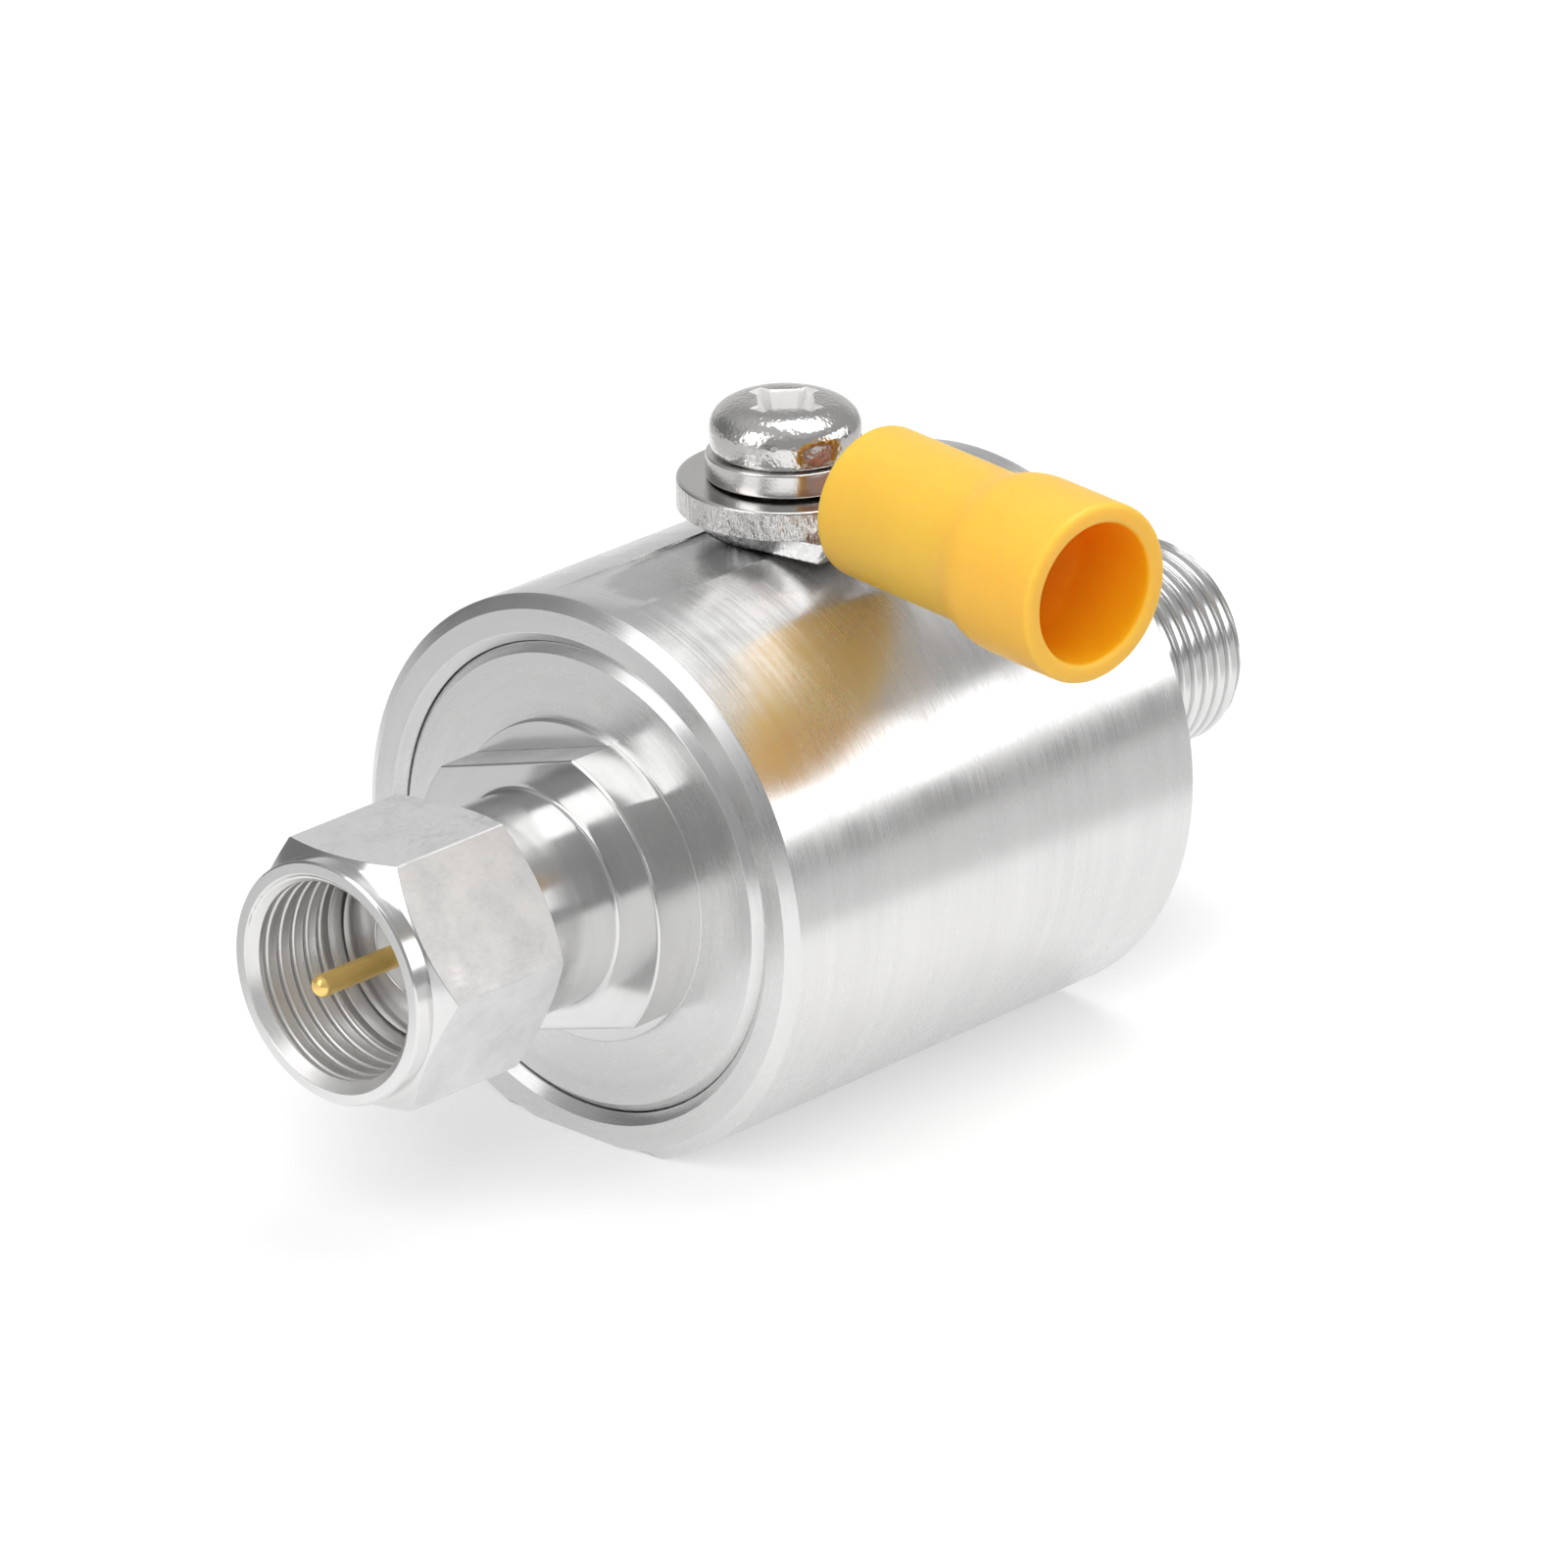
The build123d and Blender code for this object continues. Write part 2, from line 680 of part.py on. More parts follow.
# Ring terminal: stamped flat part, curled up into the rolled wire barrel with its slanting front and its seam
with BuildPart() as ring_terminal:
    with BuildSketch(barrel_profile):
        with BuildLine():
            Polyline(
                (barrel_start, barrel_bore_d / 2),
                (barrel_start, barrel_d / 2),
                (barrel_end, barrel_d / 2),
                (barrel_end, barrel_bore_d / 2),
                close=True,
            )
        make_face()
    revolve(axis=barrel_axis)
    with BuildSketch(barrel_profile):
        with BuildLine():
            Polyline(
                (barrel_start, -barrel_d / 2),
                (barrel_start + barrel_slant, barrel_d / 2),
                (barrel_start, barrel_d / 2),
                close=True,
            )
        make_face()
    extrude(amount=barrel_d, both=True, mode=Mode.SUBTRACT)
    with BuildSketch(barrel_profile):
        with Locations(((barrel_start + barrel_end) / 2, barrel_d / 2)):
            Rectangle(barrel_end - barrel_start, barrel_d)
    extrude(amount=barrel_seam / 2, both=True, mode=Mode.SUBTRACT)
    # The curl between the flat stock and the barrel
    with BuildSketch(barrel_section(tongue_end)):
        with Locations((0, (stock - barrel_d) / 2)):
            Rectangle(tongue_width, stock)
    with BuildSketch(barrel_section(curl_end)) as curl:
        with BuildLine():
            outer = CenterArc((0, 0), barrel_d / 2, -90 - curl_half_angle, 2 * curl_half_angle)
            inner = CenterArc((0, 0), barrel_bore_d / 2, -90 - curl_half_angle, 2 * curl_half_angle)
            Line(outer @ 0, inner @ 0)
            Line(outer @ 1, inner @ 1)
        make_face()
    loft()
    extrude(curl.sketch, amount=curl_overlap)
    with BuildSketch(terminal_plan):
        Circle(ring_d / 2)
        with BuildLine():
            Polyline(
                (0, ring_d / 2),
                (tongue_end, tongue_width / 2),
                (tongue_end, -tongue_width / 2),
                (0, -ring_d / 2),
                close=True,
            )
        make_face()
        Circle(stud_hole_d / 2, mode=Mode.SUBTRACT)
    extrude(amount=stock)
save(ring_terminal, "ring_terminal")

# Insulating sleeve: gripping the barrel, then flared to an open mouth with a funnel inside
with BuildPart() as terminal_sleeve:
    with BuildSketch(barrel_profile):
        with BuildLine():
            inside = Polyline(
                (sleeve_start, barrel_d / 2 + fit_gap),
                (barrel_end, barrel_d / 2 + fit_gap),
                (barrel_end, funnel_d / 2),
                (barrel_end + funnel_land, funnel_d / 2),
                (funnel_end, sleeve_mouth_bore / 2),
                (sleeve_end, sleeve_mouth_bore / 2),
            )
            mouth = Line(inside @ 1, (sleeve_end, sleeve_mouth_d / 2))
            cuff = Line(mouth @ 1, (sleeve_flare_end, sleeve_mouth_d / 2))
            flare = Bezier(
                cuff @ 1,
                ((sleeve_flare_start + sleeve_flare_end) / 2, sleeve_mouth_d / 2),
                ((sleeve_flare_start + sleeve_flare_end) / 2, sleeve_neck_d / 2),
                (sleeve_flare_start, sleeve_neck_d / 2),
            )
            neck = Line(flare @ 1, (sleeve_start, sleeve_neck_d / 2))
            Line(neck @ 1, inside @ 0)
        make_face()
    revolve(axis=barrel_axis)
    fillet(
        terminal_sleeve.edges().filter_by(GeomType.CIRCLE)
        .sort_by(barrel_axis)[-2:],
        radius=sleeve_rim_round,
    )
    fillet(
        terminal_sleeve.edges().filter_by(GeomType.CIRCLE)
        .group_by(barrel_axis)[0].sort_by(SortBy.RADIUS)[-1],
        radius=sleeve_back_round,
    )
save(terminal_sleeve, "terminal_sleeve")
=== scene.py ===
"""Looks of the coax lightning arrestor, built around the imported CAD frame.

Lengths here are in millimetres.
"""

import math

import bmesh
import bpy
import numpy as np
from mathutils import Matrix


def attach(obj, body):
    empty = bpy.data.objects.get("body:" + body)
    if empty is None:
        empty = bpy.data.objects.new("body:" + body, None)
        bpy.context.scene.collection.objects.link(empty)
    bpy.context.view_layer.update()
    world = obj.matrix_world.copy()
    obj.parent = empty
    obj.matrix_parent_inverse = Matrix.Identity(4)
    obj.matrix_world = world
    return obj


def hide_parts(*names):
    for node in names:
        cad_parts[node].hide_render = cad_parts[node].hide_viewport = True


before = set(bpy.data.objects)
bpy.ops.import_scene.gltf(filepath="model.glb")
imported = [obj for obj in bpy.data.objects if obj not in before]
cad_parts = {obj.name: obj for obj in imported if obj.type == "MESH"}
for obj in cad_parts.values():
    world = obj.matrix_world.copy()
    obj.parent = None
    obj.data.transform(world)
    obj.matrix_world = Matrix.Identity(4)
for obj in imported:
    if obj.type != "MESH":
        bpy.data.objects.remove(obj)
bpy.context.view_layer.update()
MM = 0.001

# Places along the coax axis, as in the part's source
X_NUT_FRONT = -5.2
X_NUT_BACK = 3.2
X_NECK = 3.4
X_BOSS = 7.6
X_FRONT = 10.1
X_PLUG_FACE = 10.2
X_PLUG_BACK = 13.7
X_MIDDLE = 23.1
X_RING = 23.3
X_SCREW = 23.4
X_CHAMBER_REAR = 32.1
X_BEAD_REAR = 34.1
X_REAR = 36.1
X_PORT = 48.9

# The body's size, and heights over the coax axis
BODY_R = 12.7
UNDERSIDE = 11.85
Z_FLAT = 13.6
Z_LOCK = 14.9
Z_BARREL = 15.4
Z_HEAD = 16.14

# Directions
UP = np.array((0.0, 0.0, 1.0))
TERMINAL_TURN = math.radians(-6.1)
TERMINAL_DIR = np.array((math.sin(TERMINAL_TURN), -math.cos(TERMINAL_TURN), 0.0))
TERMINAL_SIDE = np.array((math.cos(TERMINAL_TURN), math.sin(TERMINAL_TURN), 0.0))

# The frames that turned pieces are spun in: origin, axis, and the directions of angle 0 and of 90 degrees
COAX = (np.zeros(3), np.array((1.0, 0, 0)), np.array((0, 1.0, 0)), UP)
STUD = (np.array((X_SCREW, 0, 0)), UP, np.array((1.0, 0, 0)), np.array((0, 1.0, 0)))
TUBE = (np.array((X_MIDDLE, 0, 0)), UP, np.array((1.0, 0, 0)), np.array((0, 1.0, 0)))

# Coax thread, 32 turns to the inch. The floor of its groove is this share of half a pitch.
PITCH = 25.4 / 32
GROOVE_FLOOR = 0.05
TURN = 2 * math.pi

# Rounded corners: the least reach along a side, and the most as a share of that side. A support point lies
# SUPPORT_REACH times as far out, within its own share.
LEAST_REACH = 0.003
CORNER_SHARE = 0.35
SUPPORT_REACH = 1.7
SUPPORT_SHARE = 0.45

# Edges that bend more than this stay sharp
SHARP = math.radians(42)

# Points this close are welded, and edges this short are dropped, in metres
WELD_DISTANCE = 2e-7
DROP_DISTANCE = 1e-8


def corner_points(before, here, after, radius, steps):
    """Give the points that round one corner of a profile, with a support point on each side."""
    here = np.array(here[:2], float)
    back = np.array(before[:2], float) - here
    ahead = np.array(after[:2], float) - here
    back_length = max(np.hypot(*back), 1e-9)
    ahead_length = max(np.hypot(*ahead), 1e-9)
    back /= back_length
    ahead /= ahead_length
    half_turn = (math.pi - math.acos(float(np.clip(back @ ahead, -1, 1)))) / 2
    longest = CORNER_SHARE * min(back_length, ahead_length)
    reach = min(max(radius * math.tan(half_turn), LEAST_REACH), longest)
    start = here + back * reach
    end = here + ahead * reach
    points = [here + back * min(SUPPORT_REACH * reach, SUPPORT_SHARE * back_length)]
    for k in range(steps + 1):
        t = k / steps
        points.append((1 - t) ** 2 * start + 2 * (1 - t) * t * here + t * t * end)
    points.append(here + ahead * min(SUPPORT_REACH * reach, SUPPORT_SHARE * ahead_length))
    return points


def rounded(items, steps=3, closed=True):
    """Round a profile of (along, radius, fillet) corners.

    A corner without a fillet stays sharp, and an array among the corners is kept as a run of points.
    """
    points = []
    count = len(items)
    for i, item in enumerate(items):
        at_end = not closed and i in (0, count - 1)
        if isinstance(item, np.ndarray):
            points += list(item)
        elif len(item) < 3 or at_end:
            points.append(np.array(item[:2], float))
        else:
            before = items[i - 1]
            after = items[(i + 1) % count]
            before = before[-1] if isinstance(before, np.ndarray) else before
            after = after[0] if isinstance(after, np.ndarray) else after
            points += corner_points(before, item, after, item[2], steps)
    return np.array(points)


def bezier(points, steps):
    """Give points along the Bezier curve of some control points."""
    points = [np.array(p, float) for p in points]
    made = []
    for k in range(steps + 1):
        t = k / steps
        level = points
        while len(level) > 1:
            level = [(1 - t) * a + t * b for a, b in zip(level, level[1:])]
        made.append(level[0])
    return made


def even_angles(count):
    """Give evenly spaced angles round one turn."""
    return np.arange(count) * TURN / count


def with_extra(angles, places, offsets):
    """Add angles close to some places, so that an edge there comes out clean."""
    near = [np.array([place + offset for offset in offsets]) for place in places]
    return np.unique(np.round(np.concatenate([angles] + near) % TURN, 6))


def placed(axes, along, radius, angle):
    """Turn along, radius and angle into points of the row frame."""
    origin, axis, zero, quarter = axes
    ring = np.cos(angle)[..., None] * zero + np.sin(angle)[..., None] * quarter
    return origin + along[..., None] * axis + radius[..., None] * ring


def grid_faces(rows, columns, row_steps, column_steps):
    """Give the quads of a grid of points, which closes round where the steps are as many as the points."""
    i, j = np.meshgrid(np.arange(row_steps), np.arange(column_steps), indexing="ij")
    ahead = (i + 1) % rows
    up = (j + 1) % columns
    corners = (i * columns + j, ahead * columns + j, ahead * columns + up, i * columns + up)
    return np.stack(corners, -1).reshape(-1, 4).tolist()


def paint(obj, rule):
    """Set each face's material from its centre and normal, in millimetres."""
    mesh = obj.data
    centres = np.empty(len(mesh.polygons) * 3)
    normals = np.empty(len(mesh.polygons) * 3)
    mesh.polygons.foreach_get("center", centres)
    mesh.polygons.foreach_get("normal", normals)
    picks = rule(centres.reshape(-1, 3) / MM, normals.reshape(-1, 3))
    mesh.polygons.foreach_set("material_index", np.asarray(picks, np.int32))


def build(name, verts, faces, rule=None, materials=(), weld=False):
    """Make a smooth-shaded object from points, with a face rule that picks its materials."""
    mesh = bpy.data.meshes.new(name)
    mesh.from_pydata((np.asarray(verts) * MM).tolist(), [], faces)
    work = bmesh.new()
    work.from_mesh(mesh)
    if weld:
        bmesh.ops.remove_doubles(work, verts=work.verts, dist=WELD_DISTANCE)
        bmesh.ops.dissolve_degenerate(work, edges=work.edges, dist=DROP_DISTANCE)
    bmesh.ops.recalc_face_normals(work, faces=work.faces)
    work.to_mesh(mesh)
    work.free()
    mesh.shade_smooth()
    mesh.set_sharp_from_angle(angle=SHARP)
    for material in materials:
        mesh.materials.append(material)
    obj = bpy.data.objects.new(name, mesh)
    bpy.context.scene.collection.objects.link(obj)
    if rule:
        paint(obj, rule)
    return obj


def spun(name, axes, profiles, angles, closed=True, lowest=None, **extra):
    """Spin one profile, or one for each angle, into a solid.

    An open profile starts and ends on the axis. No point is left below the lowest height.
    """
    profiles = np.asarray(profiles, float)
    if profiles.ndim == 2:
        profiles = np.broadcast_to(profiles, (len(angles),) + profiles.shape)
    turns, count = profiles.shape[:2]
    angle = np.broadcast_to(np.asarray(angles)[:, None], (turns, count))
    verts = placed(axes, profiles[..., 0], profiles[..., 1], angle)
    if lowest is not None:
        verts[..., 2] = np.maximum(verts[..., 2], lowest)
    faces = grid_faces(turns, count, turns, count if closed else count - 1)
    return build(name, verts.reshape(-1, 3), faces, weld=not closed, **extra)


def prism(name, sections):
    """Join matching closed outlines, each an array of points, into one closed mesh."""
    sections = np.asarray(sections, float)
    layers, count = sections.shape[:2]
    faces = []
    for k in range(layers - 1):
        for j in range(count):
            after = (j + 1) % count
            faces.append((k * count + j, k * count + after, (k + 1) * count + after, (k + 1) * count + j))
    faces.append(tuple(range(count)))
    faces.append(tuple(range((layers - 1) * count, layers * count)))
    return build(name, sections.reshape(-1, 3), faces)


def rod(name, axes, start, end, radius):
    """Make a plain closed cylinder, only used as a cutter."""
    profile = [(start, 0), (start, radius), (end, radius), (end, 0)]
    return spun(name, axes, profile, even_angles(96), closed=False)


def settled_mesh(obj):
    """Give an object's mesh with its modifiers applied."""
    bpy.context.view_layer.update()
    return bpy.data.meshes.new_from_object(obj.evaluated_get(bpy.context.evaluated_depsgraph_get()))


def cut(obj, cutter):
    """Take one closed mesh out of another, and drop the cutter."""
    tool = obj.modifiers.new("cut", "BOOLEAN")
    tool.operation = "DIFFERENCE"
    tool.solver = "EXACT"
    tool.object = cutter
    done = settled_mesh(obj)
    obj.modifiers.remove(tool)
    old = obj.data
    obj.data = done
    done.name = obj.name
    bpy.data.meshes.remove(old)
    bpy.data.objects.remove(cutter)
    obj.data.shade_smooth()
    obj.data.set_sharp_from_angle(angle=SHARP)


# Materials
class Nodes:
    """A small builder for a node tree."""

    def __init__(self, tree):
        self.tree = tree
        tree.nodes.clear()

    def node(self, kind, **settings):
        """Add a node, with some of its settings."""
        made = self.tree.nodes.new(kind)
        for key, value in settings.items():
            setattr(made, key, value)
        return made

    def feed(self, socket, value):
        """Link a node's output to an input socket, or set a plain value on it."""
        if hasattr(value, "is_output"):
            self.tree.links.new(value, socket)
        else:
            socket.default_value = value

    def math(self, operation, *values):
        """Do one operation on numbers."""
        made = self.node("ShaderNodeMath", operation=operation)
        for socket, value in zip(made.inputs, values):
            self.feed(socket, value)
        return made.outputs[0]

    def vector(self, operation, first, second):
        """Do one operation on two vectors."""
        made = self.node("ShaderNodeVectorMath", operation=operation)
        self.feed(made.inputs[0], first)
        self.feed(made.inputs[1], second)
        return made.outputs["Value" if operation == "DOT_PRODUCT" else "Vector"]

    def spread(self, value, low, high, to_low, to_high, smooth=False):
        """Map a value from one range to another, held at the ends."""
        made = self.node("ShaderNodeMapRange", interpolation_type="SMOOTHSTEP" if smooth else "LINEAR")
        for socket, number in zip(made.inputs, (value, low, high, to_low, to_high)):
            self.feed(socket, number)
        return made.outputs[0]

    def mix(self, share, first, second):
        """Mix two colours. The node's colour sockets are inputs 6 and 7 and output 2."""
        made = self.node("ShaderNodeMix", data_type="RGBA")
        self.feed(made.inputs[0], share)
        self.feed(made.inputs[6], first)
        self.feed(made.inputs[7], second)
        return made.outputs[2]

    def place(self, origin=(0, 0, 0)):
        """Give the object coordinates in millimetres from an origin."""
        scaled = self.node("ShaderNodeVectorMath", operation="MULTIPLY_ADD")
        self.feed(scaled.inputs[0], self.node("ShaderNodeTexCoord").outputs["Object"])
        scaled.inputs[1].default_value = (1 / MM,) * 3
        scaled.inputs[2].default_value = tuple(-c for c in origin)
        return scaled.outputs[0]

    def noise(self, vector, scale, detail=2.0, roughness=0.5, w=None):
        """Add noise with features of 1 / scale, which may change with a fourth coordinate."""
        made = self.node("ShaderNodeTexNoise", noise_dimensions="3D" if w is None else "4D")
        self.feed(made.inputs["Vector"], vector)
        if w is not None:
            self.feed(made.inputs["W"], w)
        made.inputs["Scale"].default_value = scale
        made.inputs["Detail"].default_value = detail
        made.inputs["Roughness"].default_value = roughness
        return made.outputs["Fac"]

    def turned(self, point, axis, lines, along=1.5):
        """Add noise in fine rings round an axis, as a lathe leaves them.

        There are `lines` rings to a millimetre, and about `along` features to a radian round them.
        """
        parts = self.node("ShaderNodeSeparateXYZ")
        self.feed(parts.inputs[0], point)
        first, second = (parts.outputs[name] for name in "XYZ" if name != axis)
        squares = self.math("ADD", self.math("MULTIPLY", first, first), self.math("MULTIPLY", second, second))
        radius = self.math("SQRT", squares)
        safe = self.math("MAXIMUM", radius, 0.05)
        combined = self.node("ShaderNodeCombineXYZ")
        self.feed(combined.inputs[0], self.math("MULTIPLY", parts.outputs[axis], lines))
        self.feed(combined.inputs[1], self.math("MULTIPLY", self.math("DIVIDE", first, safe), along))
        self.feed(combined.inputs[2], self.math("MULTIPLY", self.math("DIVIDE", second, safe), along))
        across = self.math("MULTIPLY", radius, lines)
        return self.noise(combined.outputs[0], scale=1.0, detail=3.0, roughness=0.6, w=across)

    def bump(self, height, distance, normal=None):
        """Bump from a height, with the distance in millimetres."""
        made = self.node("ShaderNodeBump")
        made.inputs["Strength"].default_value = 1.0
        made.inputs["Distance"].default_value = distance * MM
        self.feed(made.inputs["Height"], height)
        if normal is not None:
            self.feed(made.inputs["Normal"], normal)
        return made.outputs[0]


class Finish(Nodes):
    """The node tree of one material, round its shader."""

    def __init__(self, name):
        self.material = bpy.data.materials.new(name)
        self.material.use_nodes = True
        super().__init__(self.material.node_tree)
        self.output = self.node("ShaderNodeOutputMaterial")
        self.shader = self.node("ShaderNodeBsdfPrincipled")
        self.feed(self.output.inputs["Surface"], self.shader.outputs[0])

    def set(self, **values):
        """Set the shader's sockets, named with _ for each space, and give the material."""
        for key, value in values.items():
            self.feed(self.shader.inputs[key.replace("_", " ")], value)
        return self.material


# The range that noise mostly keeps to, and a narrower one for more contrast
NOISE = (0.3, 0.7)
CONTRAST = (0.35, 0.65)
DARKENING = 0.05
AXES = {"X": (1.0, 0.0, 0.0), "Z": (0.0, 0.0, 1.0)}


def patchy(t, fine, cloud, roughness, least, most):
    """Give a roughness that varies with a fine noise, and by a fifth with broad clouds."""
    return t.math("ADD", t.spread(fine, *NOISE, roughness * least, roughness * most),
                  t.spread(cloud, *NOISE, -0.2 * roughness, 0.2 * roughness))


def drifting(t, noise, span, colour):
    """Give a colour that goes a little darker where the noise is high."""
    dark = tuple(c * (1 - DARKENING) for c in colour) + (1,)
    return t.mix(t.spread(noise, *span, 0, 1), colour + (1,), dark)


def turned_metal(name, colour, roughness, lines=9.0, mark=0.0012, axis="X", origin=(0, 0, 0), grain=0.0,
                 stretch=0.6, along=1.5, metallic=1.0):
    """Make plated metal with lathe marks round an axis, patches of roughness and a faint tarnish.

    `mark` and `grain` are the depths of the marks and of a fine grain over them, and `stretch` is how far the
    highlights are drawn out across the marks.
    """
    t = Finish(name)
    point = t.place(origin)
    rings = t.turned(point, axis, lines, along)
    broad = t.turned(point, axis, lines=1.3, along=0.6)
    cloud = t.noise(point, scale=0.35, detail=3.0, roughness=0.55)
    normal = t.bump(rings, mark)
    if grain:
        normal = t.bump(t.noise(point, scale=9.0, detail=2.0, roughness=0.6), grain, normal)
    around = t.vector("CROSS_PRODUCT", AXES[axis], point)
    across = t.vector("CROSS_PRODUCT", t.node("ShaderNodeTexCoord").outputs["Normal"], around)
    turn = t.node("ShaderNodeVectorTransform", vector_type="VECTOR", convert_from="OBJECT", convert_to="WORLD")
    t.feed(turn.inputs[0], t.vector("NORMALIZE", across, (0.0, 0.0, 0.0)))
    return t.set(Base_Color=drifting(t, broad, CONTRAST, colour), Metallic=metallic,
                 Roughness=patchy(t, rings, cloud, roughness, 0.85, 1.2), Normal=normal,
                 Anisotropic=stretch, Tangent=turn.outputs[0])


def grained_metal(name, colour, roughness, size=7.0, depth=0.002, stretch=(1, 1, 1), speck=0.0, metallic=1.0):
    """Make plated metal with a fine grain, stretched for milled or sheared faces, and dents as deep as speck."""
    t = Finish(name)
    point = t.place()
    grain = t.noise(t.vector("MULTIPLY", point, stretch), scale=size, detail=3.0, roughness=0.6)
    cloud = t.noise(point, scale=0.5, detail=3.0, roughness=0.55)
    normal = t.bump(grain, depth)
    if speck:
        dents = t.node("ShaderNodeTexVoronoi")
        t.feed(dents.inputs["Vector"], point)
        dents.inputs["Scale"].default_value = 4.5
        normal = t.bump(t.spread(dents.outputs["Distance"], 0.0, 0.6, 0, 1), speck, normal)
    return t.set(Base_Color=drifting(t, cloud, CONTRAST, colour), Metallic=metallic,
                 Roughness=patchy(t, grain, cloud, roughness, 0.8, 1.2), Normal=normal)


def plain_plastic(name, colour, roughness, subsurface=0.0, radius=(1.0, 0.5, 0.2), scale=0.6, depth=0.004,
                  size=3.0):
    """Make moulded plastic with a faint waviness, a little colour drift and light that scatters inside."""
    t = Finish(name)
    point = t.place()
    wave = t.noise(point, scale=size)
    drift = t.noise(point, scale=0.3)
    return t.set(Base_Color=drifting(t, drift, NOISE, colour),
                 Roughness=t.spread(wave, *NOISE, roughness * 0.9, roughness * 1.1),
                 Normal=t.bump(wave, depth), Subsurface_Weight=subsurface, Subsurface_Radius=radius,
                 Subsurface_Scale=scale * MM)


NICKEL = (0.74, 0.737, 0.735)
SCREW_PLATING = (0.69, 0.68, 0.67)

body_metal = turned_metal("nickel_body", NICKEL, 0.25, lines=9.0, mark=0.0002, grain=0.0007, along=0.6,
                          metallic=0.9)
ring_metal = turned_metal("nickel_ring", NICKEL, 0.28, lines=10.0, mark=0.0010)
face_metal = turned_metal("nickel_face", NICKEL, 0.26, lines=8.0, mark=0.0008)
polished_metal = turned_metal("nickel_polished", NICKEL, 0.16, lines=6.0, mark=0.0006)
thread_metal = turned_metal("nickel_thread", NICKEL, 0.20, lines=14.0, mark=0.0006, grain=0.0005, stretch=0.3)
# Painted light: the nut's inside is the same nickel, given a paler colour and some diffuse so that it reads as
# lit in the shade of the bore.
nut_inside_painted_light = turned_metal("nickel_nut_inside_painted_light", (0.80, 0.795, 0.79), 0.33, lines=8.0, mark=0.0008, grain=0.0005,
                           stretch=0.0, metallic=0.8)
rod_metal = turned_metal("nickel_rod", NICKEL, 0.25, lines=8.0, mark=0.0010)
washer_metal = turned_metal("washer_plating", (0.73, 0.72, 0.71), 0.18, lines=5.0, mark=0.0008, axis="Z",
                            origin=(X_SCREW, 0, 0), grain=0.008, stretch=0.3)
gold_metal = turned_metal("gold_contact", (1.0, 0.70, 0.23), 0.24, lines=4.0, mark=0.0003, stretch=0.0,
                          metallic=0.75)
flat_metal = grained_metal("nickel_flats", (0.78, 0.78, 0.78), 0.60, size=6.0, depth=0.0045,
                           stretch=(0.5, 1.0, 1.0))
screw_metal = grained_metal("screw_plating", SCREW_PLATING, 0.12, size=4.0, depth=0.017, speck=0.011)
# Painted light: the recess walls are the screw's own plating, given a much paler colour and some diffuse so that
# they look lit inside the recess.
recess_painted_light = grained_metal("screw_recess_painted_light", (0.88, 0.87, 0.86), 0.36, size=6.0, depth=0.02,
                             stretch=(1, 1, 0.12), metallic=0.6)
sheared_metal = grained_metal("washer_side", SCREW_PLATING, 0.10, size=4.0, depth=0.19, stretch=(1, 1, 0.3))
tinned_metal = grained_metal("tinned_terminal", (0.84, 0.84, 0.84), 0.28, size=4.0, depth=0.03)
spring_metal = grained_metal("spring_metal", (0.72, 0.60, 0.38), 0.30, size=6.0, depth=0.002)
white_plastic = plain_plastic("white_insulator", (0.86, 0.86, 0.85), 0.38, subsurface=0.15,
                              radius=(0.8, 0.8, 0.8), scale=0.5)
yellow_plastic = plain_plastic("yellow_sleeve", (1.0, 0.545, 0.065), 0.42, subsurface=0.7,
                               radius=(1.6, 0.7, 0.12), scale=1.0, depth=0.003, size=2.0)
# Painted bounce light: the inside of the mouth is the same plastic, given a deeper, redder orange that stands in
# for light bouncing round inside it.
yellow_inside_painted_bounce = plain_plastic("yellow_inside_painted_bounce", (1.0, 0.44, 0.008), 0.45, subsurface=0.9,
                              radius=(1.8, 0.7, 0.08), scale=2.4, depth=0.003, size=2.0)
ceramic = plain_plastic("ceramic_ring", (0.86, 0.84, 0.80), 0.45, depth=0.002)


def ridge(x, angle, fullness):
    """Give the height of a right-hand thread between groove, 0, and crest, 1.

    A greater fullness makes the round crests wider and the grooves narrower.
    """
    phase = (x / PITCH - angle / TURN) % 1.0
    away = np.clip((np.abs(phase - 0.5) * 2 - GROOVE_FLOOR) / (1 - GROOVE_FLOOR), 0, 1)
    return 1 - (1 - away) ** fullness


# Coupling nut
NUT_APOTHEM = 5.5
NUT_TURN = math.radians(-3.4)
NUT_EDGE = 0.14
COLLAR_R = 5.4
COLLAR_LENGTH = 0.95
COLLAR_BEVEL = 0.09
CHAMFER = math.tan(math.radians(30))
MOUTH_R = 4.85
NUT_BORE_R = 4.36
NUT_GROOVE_R = 4.85
NUT_GROOVE = (1.25, 2.25)
THREAD_MINOR = 4.4
THREAD_ROOT = 4.79
NUT_THREAD_END = X_NUT_FRONT + 4.2
RELIEF_R = 4.83
RELIEF_LENGTH = 0.4
NUT_FULLNESS = 7.0
NUT_THREAD_POINTS = 161
SIXTH = math.radians(60)

# Degrees off each corner of the hexagon where it gets more profiles
NEAR_CORNER = (0, 0.35, 0.7, 1.05, 1.6, 2.4)


def hexagon_radius(angle):
    """Give the radius of the hexagon with rounded corners at an angle from +Y towards +Z."""
    off = abs((angle - NUT_TURN + SIXTH / 2) % SIXTH - SIXTH / 2)
    centre = (NUT_APOTHEM - NUT_EDGE) / math.cos(SIXTH / 2)
    tangent = math.atan2(NUT_EDGE * math.sin(SIXTH / 2), centre + NUT_EDGE * math.cos(SIXTH / 2))
    if off >= tangent:
        return NUT_APOTHEM / math.cos(SIXTH / 2 - off)
    return centre * math.cos(off) + math.sqrt(NUT_EDGE ** 2 - (centre * math.sin(off)) ** 2)


